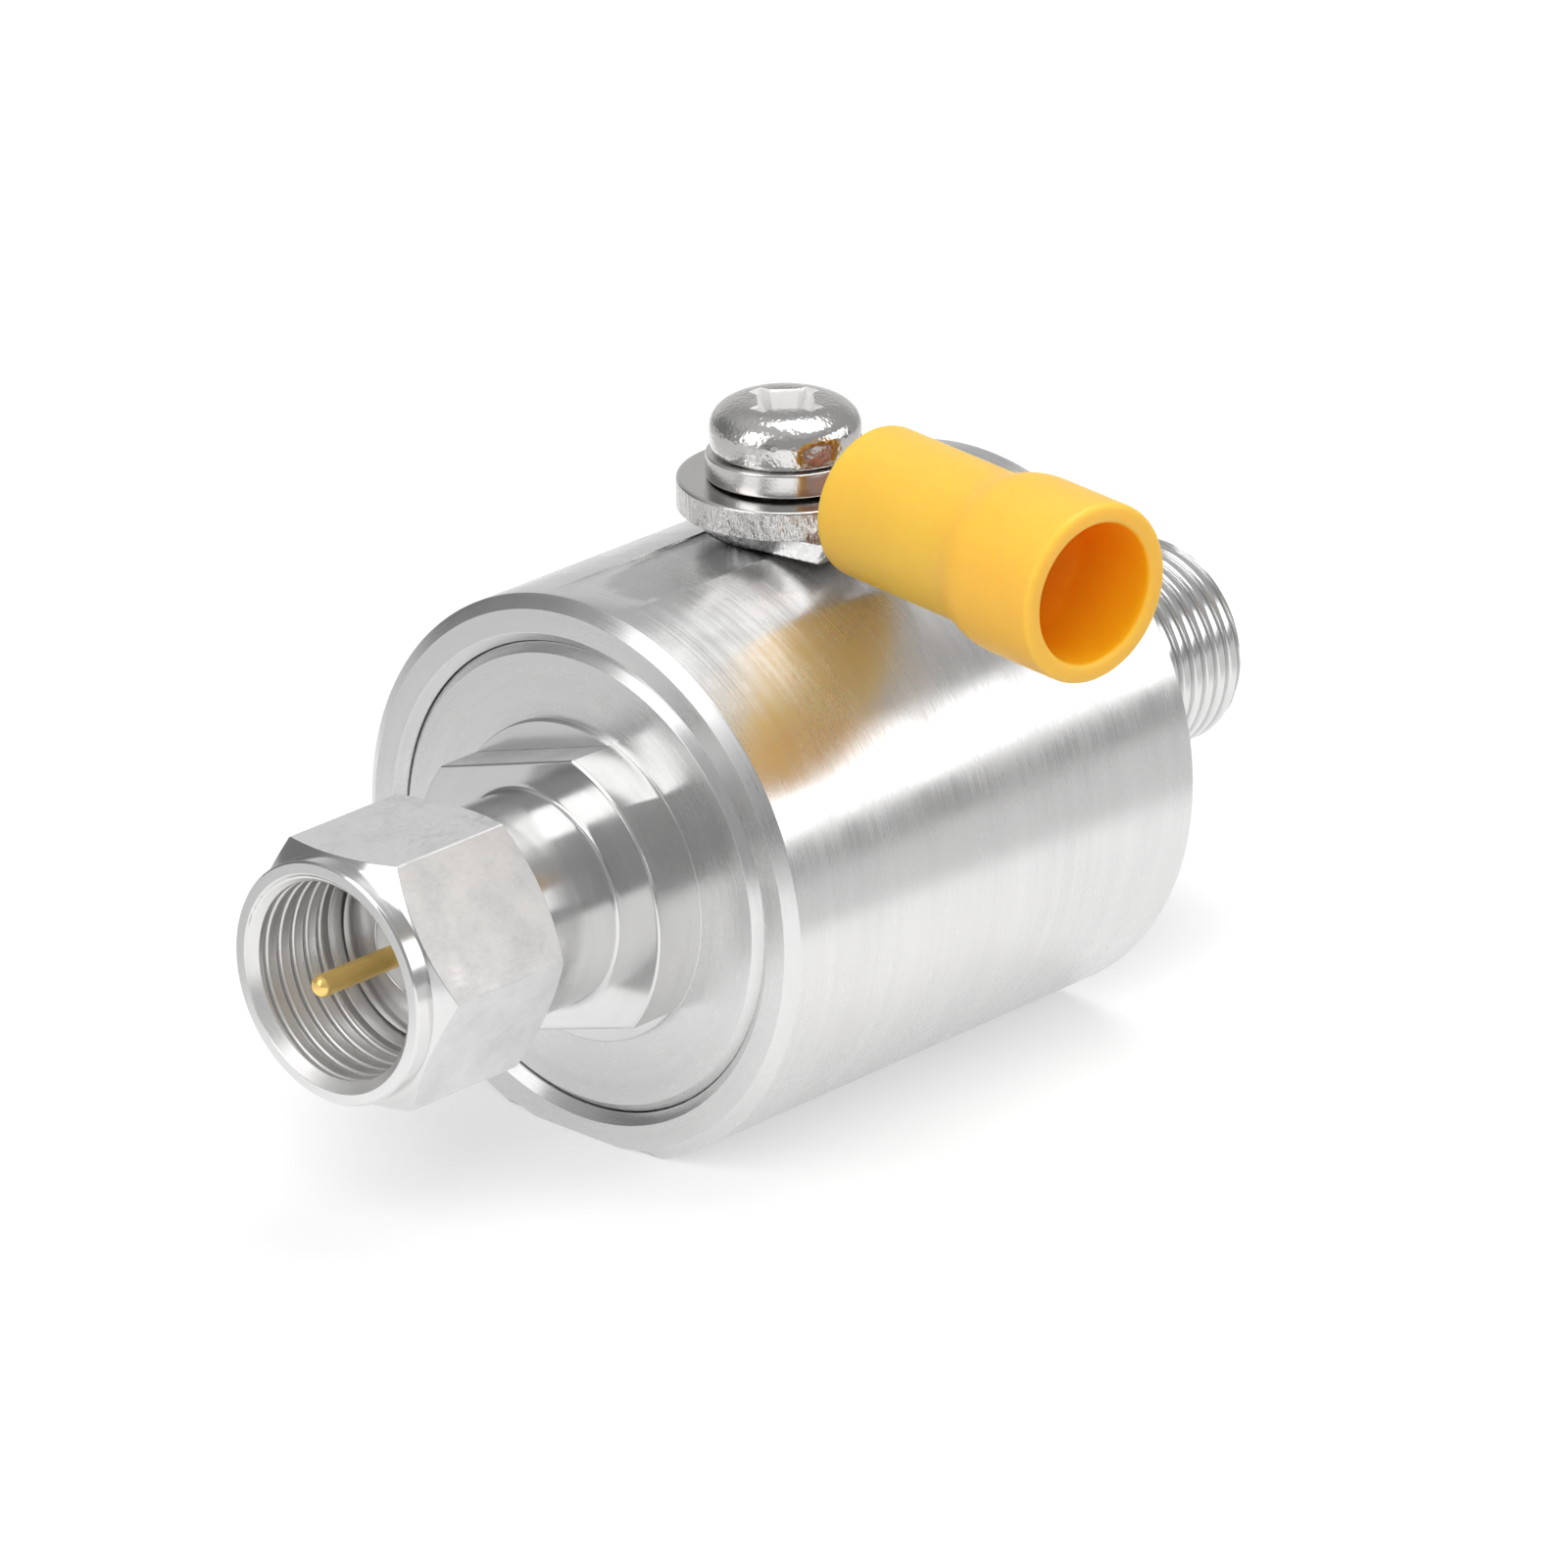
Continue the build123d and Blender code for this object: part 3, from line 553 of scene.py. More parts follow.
def nut_angles():
    """Give the angles of the nut's profiles: even ones, with more round each corner of the hexagon."""
    found = set()
    for corner in range(0, 360, 60):
        for off in NEAR_CORNER:
            found.add(round(corner + off, 4))
            found.add(round((corner - off) % 360, 4))
        for off in np.arange(4.0, 57.0, 2.0):
            found.add(round(corner + off, 4))
    return np.radians(sorted(found)) + NUT_TURN


def nut_profile(angle):
    """Give the nut's profile at one angle, with its thread as a run of points."""
    r = hexagon_radius(angle)
    x_hex = X_NUT_FRONT + COLLAR_LENGTH
    x_relief = NUT_THREAD_END + RELIEF_LENGTH
    run = (r - COLLAR_R) * CHAMFER
    groove_start, groove_end = NUT_GROOVE
    corners = [
        (X_NUT_FRONT, MOUTH_R + 0.02, 0.04),
        (X_NUT_FRONT, COLLAR_R - COLLAR_BEVEL, 0.04),
        (X_NUT_FRONT + COLLAR_BEVEL, COLLAR_R, 0.04),
        (x_hex, COLLAR_R, 0.03),
        (x_hex + run, r, 0.04),
        (X_NUT_BACK - run, r, 0.04),
        (X_NUT_BACK, COLLAR_R, 0.04),
        (X_NUT_BACK, NUT_BORE_R, 0.08),
        (groove_end, NUT_BORE_R, 0.02),
        (groove_end, NUT_GROOVE_R, 0.02),
        (groove_start, NUT_GROOVE_R, 0.02),
        (groove_start, NUT_BORE_R, 0.02),
        (x_relief, NUT_BORE_R, 0.05),
        (x_relief, RELIEF_R, 0.02),
        (NUT_THREAD_END, RELIEF_R, 0.02),
    ]
    xs = np.linspace(NUT_THREAD_END, X_NUT_FRONT + 0.02, NUT_THREAD_POINTS)
    radii = THREAD_ROOT - (THREAD_ROOT - THREAD_MINOR) * ridge(xs, angle, NUT_FULLNESS)
    radii = np.maximum(radii, MOUTH_R - (xs - X_NUT_FRONT))
    return rounded(corners + [np.stack((xs, radii), -1)])


def nut_rule(centres, normals):
    """Give 1 to the hexagon's flats and 2 to the inside, which gets a paler nickel as painted light."""
    radius = np.hypot(centres[:, 1], centres[:, 2])
    flats = (radius > COLLAR_R + 0.02) & (np.abs(normals[:, 0]) < 0.2)
    return np.where(flats, 1, np.where(radius < MOUTH_R, 2, 0))


angles = nut_angles()
nut = spun("coupling_nut_turned", COAX, [nut_profile(a) for a in angles], angles,
           rule=nut_rule, materials=(polished_metal, flat_metal, nut_inside_painted_light))
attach(nut, "coupling_nut")
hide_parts("coupling_nut")


# Male end plug: disc, boss with two wrench flats, neck and spigot
BOSS_R = 7.2
BOSS_FLAT = 5.95
BOSS_LEDGE = 0.35
BOSS_NORMAL = math.radians(90 - 17)
SPIGOT_R = 4.27
SPIGOT_BEVEL = 0.2
PIN_BORE_R = 2.16
RING_GROOVE_R = 3.65
RING_GROOVE = (1.3, 2.2)
NECK_R = 4.8
DISC_R = 10.54
DISC_BEVEL = 0.4
X_PLUG_STEP = 3.8
PLUG_BORE_R = 3.2
BEAD_SEAT_R = 3.6
BEAD_SEAT_DEPTH = 2


def boss_radius(angle):
    """Give the radius of the boss where its two flats cut it."""
    off = abs(math.cos(angle - BOSS_NORMAL))
    return min(BOSS_R, BOSS_FLAT / max(off, 1e-6))


def plug_profile(angle):
    """Give the plug's profile at one angle."""
    flat_r = boss_radius(angle)
    x_ledge = X_PLUG_FACE - BOSS_LEDGE
    x_bead = X_PLUG_BACK - BEAD_SEAT_DEPTH
    groove_start, groove_end = RING_GROOVE
    return rounded([
        (0, PIN_BORE_R, 0.05),
        (0, SPIGOT_R - SPIGOT_BEVEL, 0.05),
        (SPIGOT_BEVEL, SPIGOT_R, 0.05),
        (groove_start, SPIGOT_R, 0.02),
        (groove_start, RING_GROOVE_R, 0.02),
        (groove_end, RING_GROOVE_R, 0.02),
        (groove_end, SPIGOT_R, 0.02),
        (X_NECK, SPIGOT_R, 0.03),
        (X_NECK, NECK_R, 0.06),
        (X_BOSS, NECK_R, 0.2),
        (X_BOSS, flat_r, 0.10),
        (x_ledge, flat_r, 0.04),
        (x_ledge, BOSS_R, 0.05),
        (X_PLUG_FACE, BOSS_R, 0.04),
        (X_PLUG_FACE, DISC_R - DISC_BEVEL, 0.05),
        (X_PLUG_FACE + DISC_BEVEL, DISC_R, 0.05),
        (X_PLUG_BACK, DISC_R, 0.05),
        (X_PLUG_BACK, BEAD_SEAT_R, 0.02),
        (x_bead, BEAD_SEAT_R, 0.02),
        (x_bead, PLUG_BORE_R, 0.02),
        (X_PLUG_STEP, PLUG_BORE_R, 0.02),
        (X_PLUG_STEP, PIN_BORE_R, 0.02),
    ])


def plug_rule(centres, normals):
    """Give 1 to the disc and 2 to the boss's flats."""
    x = centres[:, 0]
    radius = np.hypot(centres[:, 1], centres[:, 2])
    facing_flat = np.abs(normals[:, 1] * math.cos(BOSS_NORMAL) + normals[:, 2] * math.sin(BOSS_NORMAL)) > 0.995
    on_boss = (x > X_BOSS) & (x < X_PLUG_FACE - BOSS_LEDGE)
    flats = facing_flat & on_boss & (radius > BOSS_FLAT - 0.1) & (radius < BOSS_R + 0.05)
    disc = (x > X_PLUG_FACE - 0.1) & (radius > BOSS_R)
    return np.where(flats, 2, np.where(disc, 1, 0))


edge_off = math.acos(BOSS_FLAT / BOSS_R)
boss_edges = [BOSS_NORMAL + side * edge_off + half * math.pi for side in (-1, 1) for half in (0, 1)]
angles = with_extra(even_angles(180), boss_edges, (-0.006, 0, 0.006))
plug = spun("male_end_plug_turned", COAX, [plug_profile(a) for a in angles], angles,
            rule=plug_rule, materials=(polished_metal, face_metal, flat_metal))
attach(plug, "arrestor")
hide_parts("male_end_plug")


# Housing: body with its underside flat, and the female port with its real thread
PORT_R = 4.7625
PORT_ROOT = 4.29
PORT_FULLNESS = 4.5
PORT_THREAD_POINTS = 300
PORT_BEVEL = 0.45
PORT_MOUTH_R = 3.7
PORT_MOUTH_DEPTH = 0.3
PORT_SEAT_R = 3.4
PORT_SEAT_DEPTH = 5.5
PORT_BORE_R = 2.6
THREAD_FOOT_R = 4.25
THREAD_FOOT_LENGTH = 1.0
REAR_BEVEL = 0.2
FRONT_BEVEL = (0.4, 0.6)
RIM_R = 11.05
RIM_STEP = (0.40, 10.60)
RIM_DEPTH = 0.75
PLUG_SEAT_R = 10.55
CHAMBER_R = 5.25
REAR_BEAD_R = 3.6

# Holes in it for the screw, and for the gas tube and its cap
SCREW_HOLE_R = 2.0
SCREW_HOLE_DEPTH = 5.6
POCKET_R = 2.9
Z_CAP_SEAT = -8.4
CAP_HOLE_R = 4.0


def housing_profile(angle):
    """Give the housing's profile at one angle, with the port's thread as a run of points."""
    x_foot = X_REAR + THREAD_FOOT_LENGTH
    bevel_length, bevel_depth = FRONT_BEVEL
    step_depth, step_r = RIM_STEP
    xs = np.linspace(X_PORT - 0.03, x_foot, PORT_THREAD_POINTS)
    radii = PORT_ROOT + (PORT_R - PORT_ROOT) * ridge(xs, angle, PORT_FULLNESS)
    radii = np.minimum(radii, PORT_R - PORT_BEVEL + (X_PORT - xs))
    return rounded([
        (X_PORT, PORT_MOUTH_R, 0.05),
        (X_PORT, PORT_R - PORT_BEVEL, 0.04),
        np.stack((xs, radii), -1),
        (x_foot, THREAD_FOOT_R, 0.02),
        (X_REAR, THREAD_FOOT_R, 0.1),
        (X_REAR, BODY_R - REAR_BEVEL, 0.08),
        (X_REAR - REAR_BEVEL, BODY_R, 0.08),
        (X_FRONT + bevel_length, BODY_R, 0.06),
        (X_FRONT, BODY_R - bevel_depth, 0.05),
        (X_FRONT, RIM_R, 0.04),
        (X_FRONT + step_depth, step_r, 0.03),
        (X_FRONT + RIM_DEPTH, PLUG_SEAT_R, 0.02),
        (X_PLUG_BACK, PLUG_SEAT_R, 0.02),
        (X_PLUG_BACK, CHAMBER_R, 0.05),
        (X_CHAMBER_REAR, CHAMBER_R, 0.05),
        (X_CHAMBER_REAR, REAR_BEAD_R, 0.02),
        (X_BEAD_REAR, REAR_BEAD_R, 0.02),
        (X_BEAD_REAR, PORT_BORE_R, 0.02),
        (X_PORT - PORT_SEAT_DEPTH, PORT_BORE_R, 0.02),
        (X_PORT - PORT_SEAT_DEPTH, PORT_SEAT_R, 0.02),
        (X_PORT - PORT_MOUTH_DEPTH, PORT_SEAT_R, 0.04),
    ])


def housing_rule(centres, normals):
    """Give 1 to the front ring and 2 to the port."""
    radius = np.hypot(centres[:, 1], centres[:, 2])
    front = centres[:, 0] < X_FRONT + 0.8
    port = (centres[:, 0] > X_REAR + 0.01) & (radius < PORT_R + 0.1)
    return np.where(front, 1, np.where(port, 2, 0))


flat_off = math.acos(UNDERSIDE / BODY_R)
flat_edges = [-math.pi / 2 + side * flat_off for side in (-1, 1)]
angles = with_extra(even_angles(240), flat_edges, (-0.004, -0.0015, 0, 0.0015, 0.004))
housing = spun("housing_turned", COAX, [housing_profile(a) for a in angles], angles, lowest=-UNDERSIDE,
               materials=(body_metal, ring_metal, thread_metal))
cut(housing, rod("screw_hole", STUD, BODY_R - SCREW_HOLE_DEPTH, BODY_R + 1, SCREW_HOLE_R))
cut(housing, rod("tube_pocket", TUBE, Z_CAP_SEAT, 0, POCKET_R))
cut(housing, rod("cap_hole", TUBE, -UNDERSIDE - 1, Z_CAP_SEAT, CAP_HOLE_R))
paint(housing, housing_rule)
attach(housing, "arrestor")
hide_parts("housing")


# Ground screw: crowned head with its recess, and a threaded shank
HEAD_R = 3.33
HEAD_SEAT_R = 3.1
HEAD_RIM = (Z_HEAD + 0.08, 3.2)
HEAD_WIDEST = Z_HEAD + 0.91
HEAD_TOP = Z_HEAD + 2.23
CROWN_R = 1.5
SHANK_R = 1.97
SHANK_END_R = 1.57
SHANK_LENGTH = 8
SHANK_FULL_LENGTH = 7.6

# The recess at heights over the crown: how far out its four blunt lands stand, half their width, and the two
# coordinates of a wing's end between them
RECESS_TURN = math.radians(45.5)
RECESS = [
    (-1.5, 0.46, 0.34, 0.50, 0.80),
    (-1.2, 0.60, 0.46, 0.64, 1.02),
    (-0.12, 1.10, 0.64, 0.96, 1.50),
    (-0.03, 1.18, 0.65, 1.00, 1.56),
    (0.04, 1.30, 0.66, 1.06, 1.68),
]


def cross(z, land, half, near, far):
    """Give the outline of the recess at one height, land by land."""
    outline = []
    for k in range(4):
        turn = RECESS_TURN + k * math.pi / 2
        for x, y in ((land, -half), (land, half), (far, near), (near, far)):
            turned_x = x * math.cos(turn) - y * math.sin(turn)
            turned_y = x * math.sin(turn) + y * math.cos(turn)
            outline.append((X_SCREW + turned_x, turned_y, z))
    return outline


def screw_rule(centres, normals):
    """Give 1 to the walls of the recess, which get a paler plating as painted light."""
    inside = (np.hypot(centres[:, 0] - X_SCREW, centres[:, 1]) < 1.9) & (centres[:, 2] > Z_HEAD + 0.5)
    return np.where(inside & (np.abs(normals[:, 2]) < 0.95), 1, 0)


shank = rounded([
    (Z_HEAD - SHANK_LENGTH, 0),
    (Z_HEAD - SHANK_LENGTH, SHANK_END_R, 0.1),
    (Z_HEAD - SHANK_FULL_LENGTH, SHANK_R, 0.1),
    (Z_HEAD, SHANK_R, 0.02),
    (Z_HEAD, HEAD_SEAT_R, 0.04),
    HEAD_RIM,
], closed=False)
side = bezier([HEAD_RIM, (Z_HEAD + 0.12, HEAD_R), (HEAD_WIDEST, HEAD_R)], 8)
dome = bezier([(HEAD_WIDEST, HEAD_R), (HEAD_WIDEST + 0.85, HEAD_R), (HEAD_TOP, 2.6), (HEAD_TOP, CROWN_R)], 28)
shape = np.vstack((shank[:-1], side, dome[1:], [(HEAD_TOP, 0)]))
screw = spun("ground_screw_turned", STUD, shape, even_angles(144), closed=False,
             materials=(screw_metal, recess_painted_light))
cut(screw, prism("recess", [cross(HEAD_TOP + rise, *sizes) for rise, *sizes in RECESS]))
paint(screw, screw_rule)
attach(screw, "arrestor")
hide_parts("ground_screw")


# Split lock washer: its ends lean, and over some degrees it rises from the flat washer towards one of them. The
# split is 0.45 mm wide at a radius of 3 mm.
LOCK_INNER_R = 2.1
LOCK_R = 3.48
LOCK_WIDTH = 1.10
LOCK_RISE = 0.14
LOCK_LEAN = math.tan(math.radians(25))
RISE_START = 100
RISE_LENGTH = 110
SPLIT = math.radians(50)
SPLIT_WIDTH = 0.45 / 3.0


def lock_lift(angle):
    """Give how far the sprung washer stands off the flat washer at an angle from +X towards +Y."""
    share = np.clip((np.degrees(angle) - RISE_START) / RISE_LENGTH, 0, 1)
    return LOCK_RISE * share * share * (3 - 2 * share)


def swept(name, section, start, end, count, lean, lift, **extra):
    """Sweep a closed section round the screw between two angles, with leaning ends and a rise on the way."""
    size = len(section)
    share = np.linspace(0, 1, count)
    shift = lean * (section[:, 0] - section[:, 0].mean()) / section[:, 1]
    angle = start + shift + share[:, None] * (end - start)
    verts = placed(STUD, section[:, 0] + lift(angle), np.broadcast_to(section[:, 1], angle.shape), angle)
    ends = [list(range(size)), list(range((count - 1) * size, count * size))]
    return build(name, verts.reshape(-1, 3), grid_faces(count, size, count - 1, size) + ends, **extra)


section = rounded([
    (Z_LOCK, LOCK_INNER_R, 0.08),
    (Z_LOCK, LOCK_R, 0.12),
    (Z_LOCK + LOCK_WIDTH, LOCK_R, 0.12),
    (Z_LOCK + LOCK_WIDTH, LOCK_INNER_R, 0.08),
], steps=4)
lock = swept("lock_washer_ring", section, SPLIT + SPLIT_WIDTH / 2, SPLIT + TURN - SPLIT_WIDTH / 2, 150,
             LOCK_LEAN, lock_lift, materials=(washer_metal,))
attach(lock, "arrestor")
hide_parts("lock_washer")


# Flat washer, with a sheared side
FLAT_INNER_R = 2.2
FLAT_R = 4.75


def washer_rule(centres, normals):
    """Give 1 to the sides of the washer."""
    return np.where((np.abs(normals[:, 2]) < 0.3), 1, 0)


section = rounded([
    (Z_FLAT, FLAT_INNER_R, 0.05),
    (Z_FLAT, FLAT_R, 0.03),
    (Z_LOCK, FLAT_R, 0.14),
    (Z_LOCK, FLAT_INNER_R, 0.08),
], steps=4)
flat = spun("flat_washer_disc", STUD, section, even_angles(180), rule=washer_rule,
            materials=(washer_metal, sheared_metal))
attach(flat, "arrestor")
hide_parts("flat_washer")


# Ring terminal: the CAD solid's form with its edges softened, as stamping and tinning leave them
SKIN_STEP = 0.06

terminal = bpy.data.objects.new("ring_terminal_stamped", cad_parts["ring_terminal"].data.copy())
bpy.context.scene.collection.objects.link(terminal)
remesh = terminal.modifiers.new("skin", "REMESH")
remesh.mode = "VOXEL"
remesh.voxel_size = SKIN_STEP * MM
soften = terminal.modifiers.new("soften", "SMOOTH")
soften.factor = 0.5
soften.iterations = 2
skin = settled_mesh(terminal)
terminal.modifiers.clear()
terminal.data = skin
skin.shade_smooth()
skin.materials.clear()
skin.materials.append(tinned_metal)
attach(terminal, "arrestor")
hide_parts("ring_terminal")


# Sleeve: grips the barrel, flares to a wide mouth and has a funnel inside. Places along it are counted from the
# middle of the terminal's ring.
SLEEVE_DROOP = math.radians(1.1)
SLEEVE_START = 5.9
SLEEVE_END = 19.85
BARREL_END = 13.4
FUNNEL = (13.8, 15.6)
GRIP_R = 3.4
GRIP_BORE_R = 2.71
FUNNEL_R = 1.9
FLARE_R = 3.975
FLARE_BORE_R = 3.1

barrel_origin = np.array((X_RING, 0, Z_BARREL))
sleeve_dir = TERMINAL_DIR * math.cos(SLEEVE_DROOP) - UP * math.sin(SLEEVE_DROOP)
sleeve_up = UP * math.cos(SLEEVE_DROOP) + TERMINAL_DIR * math.sin(SLEEVE_DROOP)
sleeve_origin = barrel_origin + SLEEVE_START * (TERMINAL_DIR - sleeve_dir)
SLEEVE = (sleeve_origin, sleeve_dir, TERMINAL_SIDE, sleeve_up)


def sleeve_rule(centres, normals):
    """Give 1 to the faces inside the open mouth, which get a deeper orange as painted bounce light."""
    offset = centres - sleeve_origin
    along = offset @ sleeve_dir
    radius = np.linalg.norm(offset - along[:, None] * sleeve_dir, axis=1)
    return np.where((along > 13) & (radius < FLARE_BORE_R + 0.04), 1, 0)


funnel_start, funnel_end = FUNNEL
flare = bezier([(15.8, FLARE_R), (14.2, FLARE_R), (14.2, GRIP_R), (12.6, GRIP_R)], 18)
shape = rounded([
    (SLEEVE_START, GRIP_R, 0.5),
    (SLEEVE_START, GRIP_BORE_R, 0.1),
    (BARREL_END, GRIP_BORE_R, 0.05),
    (BARREL_END, FUNNEL_R, 0.1),
    (funnel_start, FUNNEL_R, 0.3),
    (funnel_end, FLARE_BORE_R, 0.8),
    (SLEEVE_END, FLARE_BORE_R, 0.34),
    (SLEEVE_END, FLARE_R, 0.34),
    np.array(flare),
], steps=6)
sleeve = spun("terminal_sleeve_moulded", SLEEVE, shape, even_angles(128), rule=sleeve_rule,
              materials=(yellow_plastic, yellow_inside_painted_bounce))
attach(sleeve, "arrestor")
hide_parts("terminal_sleeve")


# Centre pin, with a collar that the insulator holds
PIN_R = 0.5
PIN_TIP = -5.8
PIN_TIP_END = -5.32
PIN_ROOT_R = 0.7
PIN_COLLAR_R = 1.0
PIN_COLLAR = (3.8, 8.2)
PIN_END = 11.2

collar_start, collar_end = PIN_COLLAR
tip = bezier([(PIN_TIP, 0), (PIN_TIP, 0.34), (-5.62, PIN_R), (PIN_TIP_END, PIN_R)], 10)
rest = rounded([
    (PIN_TIP_END, PIN_R),
    (0, PIN_R, 0.01),
    (0, PIN_ROOT_R, 0.01),
    (collar_start, PIN_ROOT_R, 0.01),
    (collar_start, PIN_COLLAR_R, 0.02),
    (collar_end, PIN_COLLAR_R, 0.02),
    (collar_end, PIN_ROOT_R, 0.02),
    (PIN_END, PIN_ROOT_R, 0.05),
    (PIN_END, 0),
], closed=False)
pin = spun("center_pin_turned", COAX, np.vstack((tip[:-1], rest)), even_angles(64), closed=False,
           materials=(gold_metal,))
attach(pin, "arrestor")
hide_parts("center_pin")


# White insulator round the pin
shape = rounded([
    (0, PIN_ROOT_R + 0.01, 0.06),
    (0, PIN_BORE_R - 0.02, 0.05),
    (X_PLUG_STEP, PIN_BORE_R - 0.02, 0.02),
    (X_PLUG_STEP, PLUG_BORE_R - 0.01, 0.05),
    (collar_end, PLUG_BORE_R - 0.01, 0.05),
    (collar_end, PIN_COLLAR_R + 0.01, 0.02),
    (collar_start, PIN_COLLAR_R + 0.01, 0.01),
    (collar_start, PIN_ROOT_R + 0.01, 0.01),
])
insulator = spun("male_insulator_moulded", COAX, shape, even_angles(96), materials=(white_plastic,))
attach(insulator, "arrestor")
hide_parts("male_insulator")


# White insulator in the female port, with its entry hole
X_ENTRY = 48.6
ENTRY_MOUTH_R = 1.1
ENTRY_R = 0.6
ENTRY_HOLE = (48.0, 48.1)
CONTACT_R = 1.25

entry_start, entry_end = ENTRY_HOLE
shape = rounded([
    (X_ENTRY, ENTRY_MOUTH_R, 0.06),
    (X_ENTRY, PORT_SEAT_R - 0.01, 0.06),
    (X_PORT - PORT_SEAT_DEPTH, PORT_SEAT_R - 0.01, 0.05),
    (X_PORT - PORT_SEAT_DEPTH, CONTACT_R, 0.02),
    (entry_start, CONTACT_R, 0.02),
    (entry_start, ENTRY_R, 0.02),
    (entry_end, ENTRY_R, 0.02),
])
socket = spun("female_insulator_moulded", COAX, shape, even_angles(96), materials=(white_plastic,))
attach(socket, "arrestor")
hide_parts("female_insulator")


# Slotted cap of the gas tube, in the underside
Z_CAP_FACE = -11.55
CAP_R = 3.97
CAP_BEVEL = 0.25
CAP_SLOT = [(-10.35, 0.58), (-11.5, 0.6), (-11.62, 0.66)]

shape = rounded([
    (Z_CAP_FACE, 0),
    (Z_CAP_FACE, CAP_R - CAP_BEVEL, 0.05),
    (Z_CAP_FACE + CAP_BEVEL, CAP_R, 0.05),
    (Z_CAP_SEAT, CAP_R, 0.05),
    (Z_CAP_SEAT, 0),
], closed=False)
cap = spun("gas_tube_cap_turned", TUBE, shape, even_angles(128), closed=False, materials=(face_metal,))
slot = [[(X_MIDDLE + x, y, z) for x, y in ((-5, -half), (5, -half), (5, half), (-5, half))]
        for z, half in CAP_SLOT]
cut(cap, prism("cap_slot", slot))
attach(cap, "arrestor")
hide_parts("gas_tube_cap")


# Nodes that keep their CAD shape get the finish of their metal, plastic or ceramic
KEPT = {
    "nut_retaining_ring": spring_metal,
    "inner_conductor": rod_metal,
    "front_bead": white_plastic,
    "rear_bead": white_plastic,
    "female_contact": gold_metal,
    "gas_tube_ceramic": ceramic,
    "gas_tube_inner_electrode": rod_metal,
    "gas_tube_outer_electrode": rod_metal,
    "contact_spring": spring_metal,
}
for node, material in KEPT.items():
    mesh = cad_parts[node].data
    mesh.materials.clear()
    mesh.materials.append(material)


# Floor, whitened as far as the right and left edges of the photo's picture: the way out over each edge, how far
# along it the edge lies, and the length over which the whitening fades there
FLOOR_HALF = 1500.0
FLOOR_GAP = 0.02
FLOOR_COLOURS = [(0.61, 0.61, 0.61, 1), (0.60, 0.60, 0.60, 1)]
FLOOR_LIFT = 0.42
LIFT_SIDES = [((0.622, -0.787, 0.0), 50.4), ((-0.732, 0.685, 0.0), 19.6)]
LIFT_FADE = 17.0


def floor_material():
    """Make the pale floor, which glows a little as the camera, a reflection or something clear shows it."""
    t = Finish("pale_floor")
    point = t.place()
    cloud = t.noise(point, scale=0.02)
    t.set(Base_Color=t.mix(t.spread(cloud, *NOISE, 0, 1), *FLOOR_COLOURS), Roughness=0.9)
    path = t.node("ShaderNodeLightPath").outputs
    mirrored = t.math("MAXIMUM", path["Is Glossy Ray"], path["Is Transmission Ray"])
    seen = t.math("MAXIMUM", path["Is Camera Ray"], mirrored)
    past_edges = [t.math("SUBTRACT", t.vector("DOT_PRODUCT", point, way), edge) for way, edge in LIFT_SIDES]
    lift = t.spread(t.math("MAXIMUM", *past_edges), 0.0, LIFT_FADE, FLOOR_LIFT, 0.0, smooth=True)
    glow = t.node("ShaderNodeEmission")
    t.feed(glow.inputs["Strength"], t.math("MULTIPLY", seen, lift))
    both = t.node("ShaderNodeAddShader")
    t.feed(both.inputs[0], t.shader.outputs[0])
    t.feed(both.inputs[1], glow.outputs[0])
    t.feed(t.output.inputs["Surface"], both.outputs[0])
    return t.material


corners = [(x * FLOOR_HALF, y * FLOOR_HALF, -UNDERSIDE - FLOOR_GAP)
           for x, y in ((-1, -1), (1, -1), (1, 1), (-1, 1))]
floor = build("floor", corners, [(0, 1, 2, 3)], materials=(floor_material(),))


def facing(azimuth, elevation):
    """Give the unit vector that points from the object at an azimuth from -Y towards +X and an elevation."""
    azimuth = math.radians(azimuth)
    elevation = math.radians(elevation)
    level = math.cos(elevation)
    return np.array((math.sin(azimuth) * level, -math.cos(azimuth) * level, math.sin(elevation)))


# The room: grey walls with three dark places, a pale backdrop behind the object and a lighter ceiling
WALL_LIGHT = 0.50
CEILING_LIGHT = 0.75
BACKDROP_LIGHT = 0.38

world = bpy.data.worlds.new("studio")
bpy.context.scene.world = world
world.use_nodes = True
room = Nodes(world.node_tree)
way = room.node("ShaderNodeTexCoord").outputs["Generated"]
split_way = room.node("ShaderNodeSeparateXYZ")
room.feed(split_way.inputs[0], way)
height = split_way.outputs["Z"]


def patch(azimuth, elevation, inner, outer, strength):
    """Give a soft round patch of light on the walls, full within one angle and gone at another."""
    closeness = room.vector("DOT_PRODUCT", way, tuple(facing(azimuth, elevation)))
    gone = math.cos(math.radians(outer))
    full = math.cos(math.radians(inner))
    return room.spread(closeness, gone, full, 0.0, strength, smooth=True)


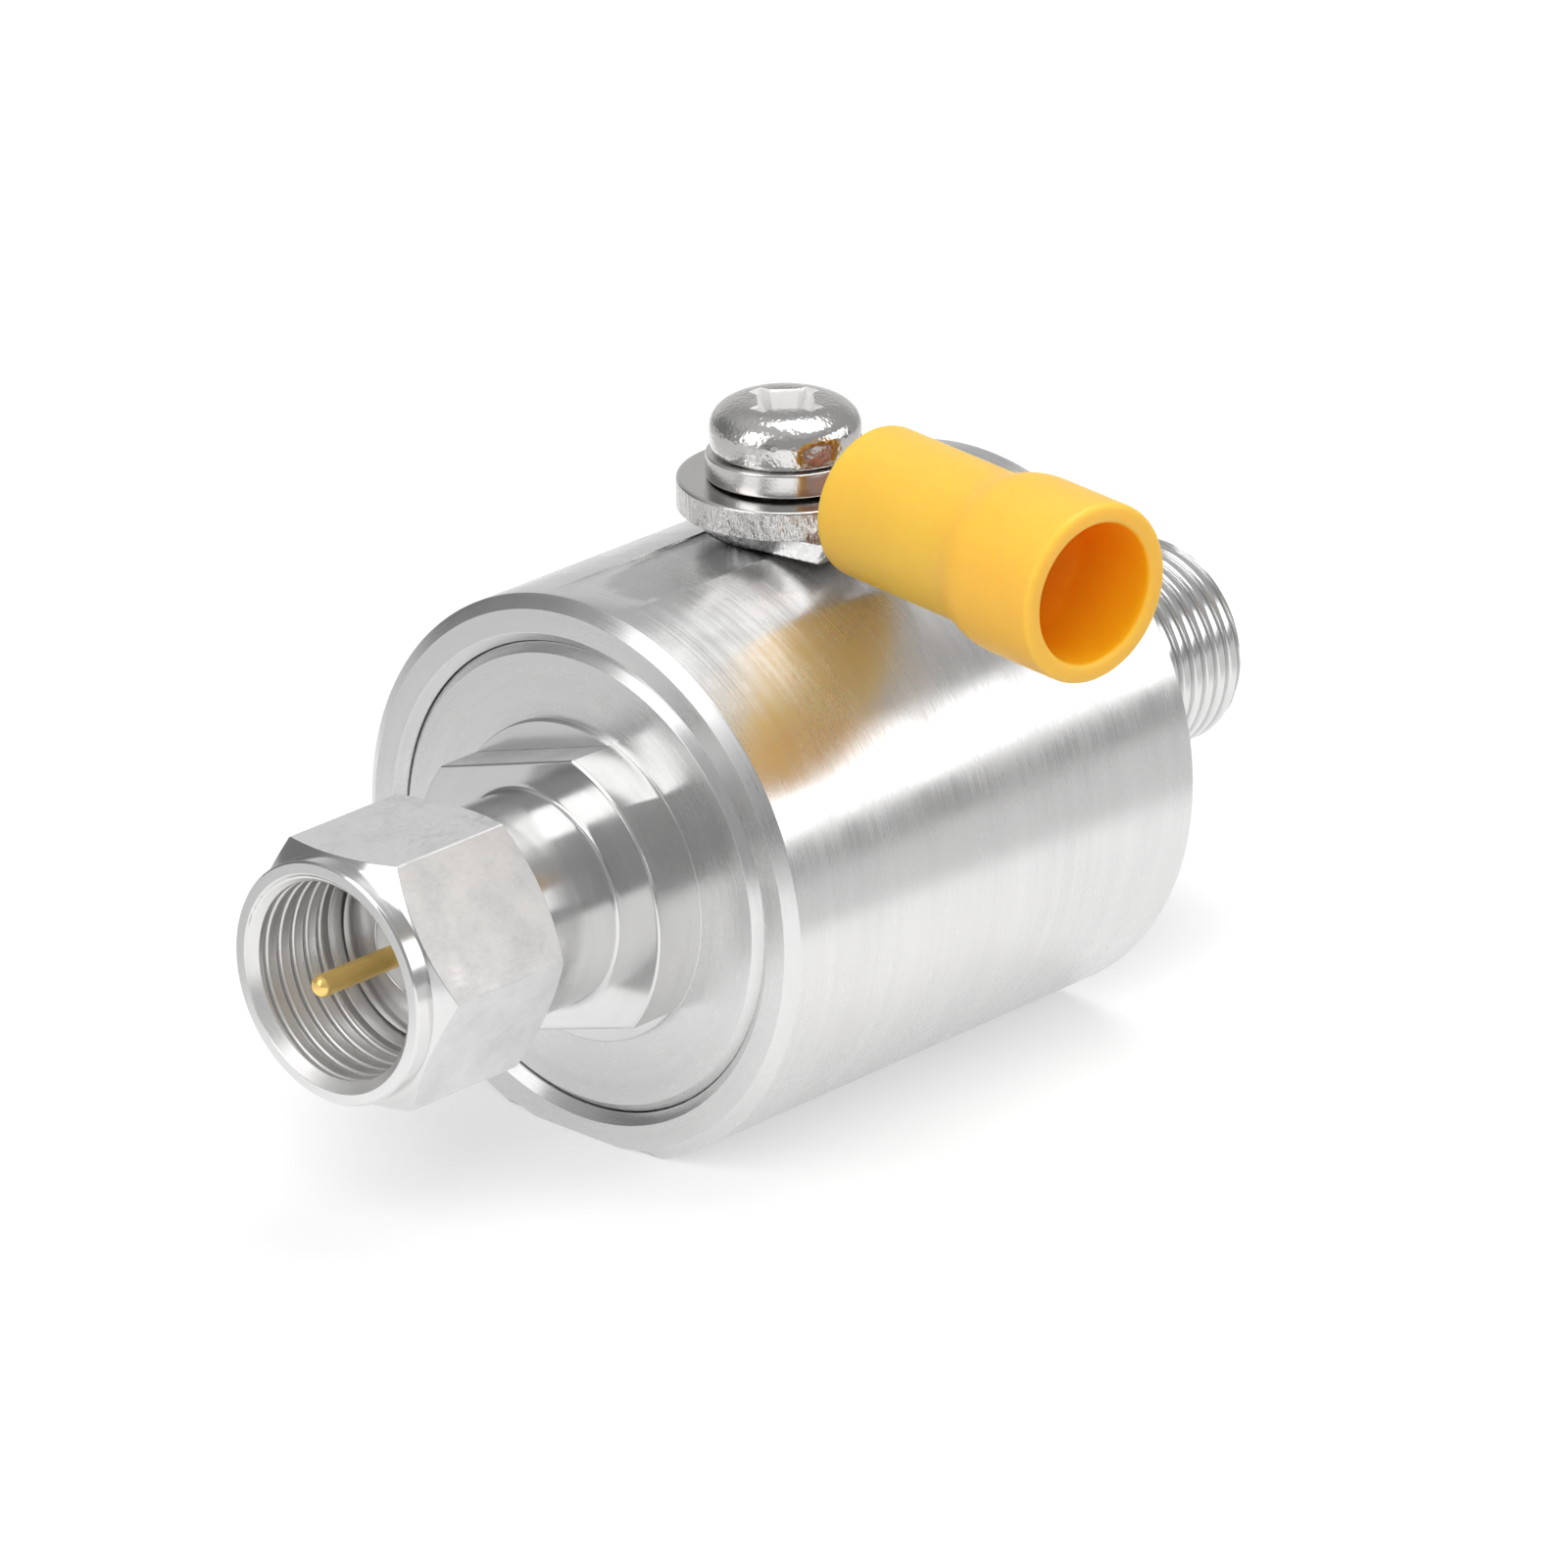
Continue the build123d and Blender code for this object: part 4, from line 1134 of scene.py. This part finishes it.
walls = room.spread(height, 0.55, 0.95, WALL_LIGHT, CEILING_LIGHT, smooth=True)
backdrop = room.math("MULTIPLY", patch(azimuth=137, elevation=0, inner=18, outer=46, strength=1.0),
                     room.spread(height, 0.15, 0.56, BACKDROP_LIGHT, 0.0, smooth=True))
dark = room.math("ADD", patch(azimuth=-165, elevation=10, inner=14, outer=34, strength=0.22),
                 patch(azimuth=-73, elevation=8, inner=5, outer=12, strength=0.22))
dark = room.math("ADD", dark, patch(azimuth=56, elevation=0, inner=5, outer=13, strength=0.25))
background = room.node("ShaderNodeBackground")
room.feed(background.inputs["Strength"], room.math("SUBTRACT", room.math("ADD", walls, backdrop), dark))
room.feed(room.node("ShaderNodeOutputWorld").inputs["Surface"], background.outputs[0])


# Lamps and camera
LAMP_TARGET = np.array((20.0, 0.0, 3.0))


def aim(obj, away, roll=0.0):
    """Turn a lamp or camera so that it looks against a direction, with an upright picture."""
    right = np.cross(UP, away)
    right = right / np.linalg.norm(right)
    top = np.cross(away, right)
    cosine = math.cos(roll)
    sine = math.sin(roll)
    right, top = right * cosine + top * sine, top * cosine - right * sine
    rows = [[right[k], top[k], away[k], obj.location[k]] for k in range(3)]
    obj.matrix_world = Matrix(rows + [[0, 0, 0, 1]])


def softbox(name, azimuth, elevation, width, height, radiance, distance):
    """Add a rectangular lamp of a given radiance, looking at the object."""
    lamp = bpy.data.lights.new(name, "AREA")
    lamp.shape = "RECTANGLE"
    lamp.size = width * MM
    lamp.size_y = height * MM
    lamp.energy = radiance * math.pi * lamp.size * lamp.size_y
    obj = bpy.data.objects.new(name, lamp)
    bpy.context.scene.collection.objects.link(obj)
    away = facing(azimuth, elevation)
    obj.location = (LAMP_TARGET + away * distance) * MM
    aim(obj, away)
    return obj


softbox("right_box", azimuth=38, elevation=20, width=364, height=167, radiance=1.9, distance=500)
softbox("left_box", azimuth=-101, elevation=32, width=240, height=460, radiance=1.6, distance=450)
softbox("top_box", azimuth=82, elevation=73, width=300, height=220, radiance=2.9, distance=380)

# A lamp near the camera that lights the object, and that no metal mirrors
fill_box = softbox("fill_box", azimuth=-52, elevation=42, width=400, height=400, radiance=3.1, distance=600)
fill_box.visible_glossy = False

# The camera that was fitted to the part's circles in the photo, with its place in metres
camera_data = bpy.data.cameras.new("camera")
camera_data.sensor_width = 36.0
camera_data.lens = 259.6
camera_data.clip_end = 10.0
camera = bpy.data.objects.new("camera", camera_data)
bpy.context.scene.collection.objects.link(camera)
camera.location = (-0.31346, -0.30924, 0.18751)
aim(camera, facing(-47.437, 22.249), roll=math.radians(-0.09))
bpy.context.scene.camera = camera

bpy.context.scene.view_settings.view_transform = "Standard"
